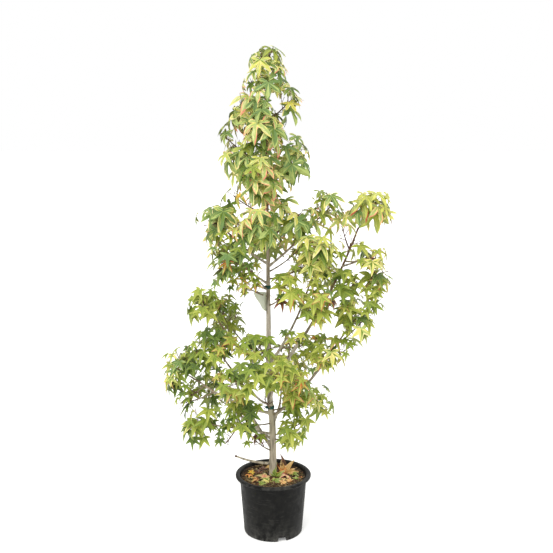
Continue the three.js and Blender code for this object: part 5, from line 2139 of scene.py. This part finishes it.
def make_label():
    """A blank tag folded round the trunk: two thin, curved sides."""
    rows, columns = LABEL["rows"], LABEL["columns"]
    size = rows * columns
    first = np.arange(size).reshape(rows, columns)
    quads = np.stack([first[:-1, :-1], first[1:, :-1], first[1:, 1:], first[:-1, 1:]], -1).reshape(-1, 4)
    rim = np.concatenate([first[0, :-1], first[:-1, -1], first[-1, :0:-1], first[:0:-1, 0]])
    edge = np.stack([rim, np.roll(rim, -1), np.roll(rim, -1) + size, rim + size], -1)
    faces = [quads, quads[:, ::-1] + size, edge]

    along = along_at(trunk, LABEL["level"] - LABEL["height"])
    away = trunk.radius(along) + LABEL["off_trunk"]
    cos, sin = math.cos(LABEL["turn"]), math.sin(LABEL["turn"])
    root = (trunk.at(along) - [away * cos, away * sin, 0]) * [1, 1, 0]
    turned = np.array([[cos, sin, 0], [-sin, cos, 0], [0, 0, 1]])
    mesh = Mesh()
    for side in (-1, 1):
        face = label_face(side)
        normal = unit(np.cross(np.gradient(face, axis=1), np.gradient(face, axis=0)))
        thick = normal * LABEL["thickness"] / 2
        sides = [(way @ turned + root).reshape(-1, 3) for way in (face + thick, face - thick)]
        mesh.add(np.vstack(sides), faces, [0, 0, 0])
    mesh.make("label_tag", [label_material()], ["label"])


# ---------------------------------------------------------------- stage and camera

FLOOR_HALF = 60  # metres
FLOOR_GLOW = 0.22
SURROUNDINGS = 0.92
# Suns: name, turn and tilt in degrees, power, and the width of the light in degrees.
SUNS = (("key", -32, 42, 1.75, 30), ("back", 150, 50, 0.9, 40))
CAMERA_LENS = 54.8
CAMERA_TILT = 10.05  # degrees below level


def make_floor():
    mesh = bpy.data.meshes.new("floor")
    half = FLOOR_HALF
    corners = [(-half, -half, 0), (half, -half, 0), (half, half, 0), (-half, half, 0)]
    mesh.from_pydata(corners, [], [(0, 1, 2, 3)])
    material = principled("floor", (244, 244, 242), roughness=0.9, specular=0.1)
    shader = material.node_tree.nodes["Principled BSDF"]
    shader.inputs["Emission Color"].default_value = (1, 1, 1, 1)
    shader.inputs["Emission Strength"].default_value = FLOOR_GLOW
    mesh.materials.append(material)
    floor = bpy.data.objects.new("floor", mesh)
    bpy.context.scene.collection.objects.link(floor)


def light_scene():
    """White surroundings, seen as pure white and a little weaker as light, and two soft suns."""
    scene = bpy.context.scene
    scene.view_settings.view_transform = "Standard"
    world = bpy.data.worlds.new("studio")
    scene.world = world
    world.use_nodes = True
    tree = world.node_tree
    lights = tree.nodes["Background"]
    backdrop = tree.nodes.new("ShaderNodeBackground")
    for shader, strength in ((lights, SURROUNDINGS), (backdrop, 1.0)):
        shader.inputs["Strength"].default_value = strength
        shader.inputs["Color"].default_value = (1, 1, 1, 1)
    path = tree.nodes.new("ShaderNodeLightPath")
    mix = tree.nodes.new("ShaderNodeMixShader")
    tree.links.new(path.outputs["Is Camera Ray"], mix.inputs["Fac"])
    tree.links.new(lights.outputs["Background"], mix.inputs[1])
    tree.links.new(backdrop.outputs["Background"], mix.inputs[2])
    tree.links.new(mix.outputs["Shader"], tree.nodes["World Output"].inputs["Surface"])

    for name, turn, tilt, power, width in SUNS:
        data = bpy.data.lights.new(name, "SUN")
        data.energy = power
        data.angle = math.radians(width)
        lamp = bpy.data.objects.new(name, data)
        lamp.rotation_euler = (math.radians(tilt), 0, math.radians(turn))
        scene.collection.objects.link(lamp)


def place_camera():
    camera = bpy.data.objects.new("camera", bpy.data.cameras.new("camera"))
    camera.data.lens = CAMERA_LENS
    camera.data.sensor_width = 36
    camera.data.clip_end = 200
    camera.location = SEEN_FROM * MM
    camera.rotation_euler = (math.radians(90 - CAMERA_TILT), 0, 0)
    bpy.context.scene.collection.objects.link(camera)
    bpy.context.scene.camera = camera


# ---------------------------------------------------------------- the whole plant

place_camera()
light_scene()
make_floor()

crown = grow_crown()
bark = bark_materials()
make_trunk(crown, bark)
make_boughs(bark)
make_twigs(crown)
make_stalks(crown)
make_leaves(crown)
make_pot()
make_soil()
make_litter()
make_ties()
make_label()
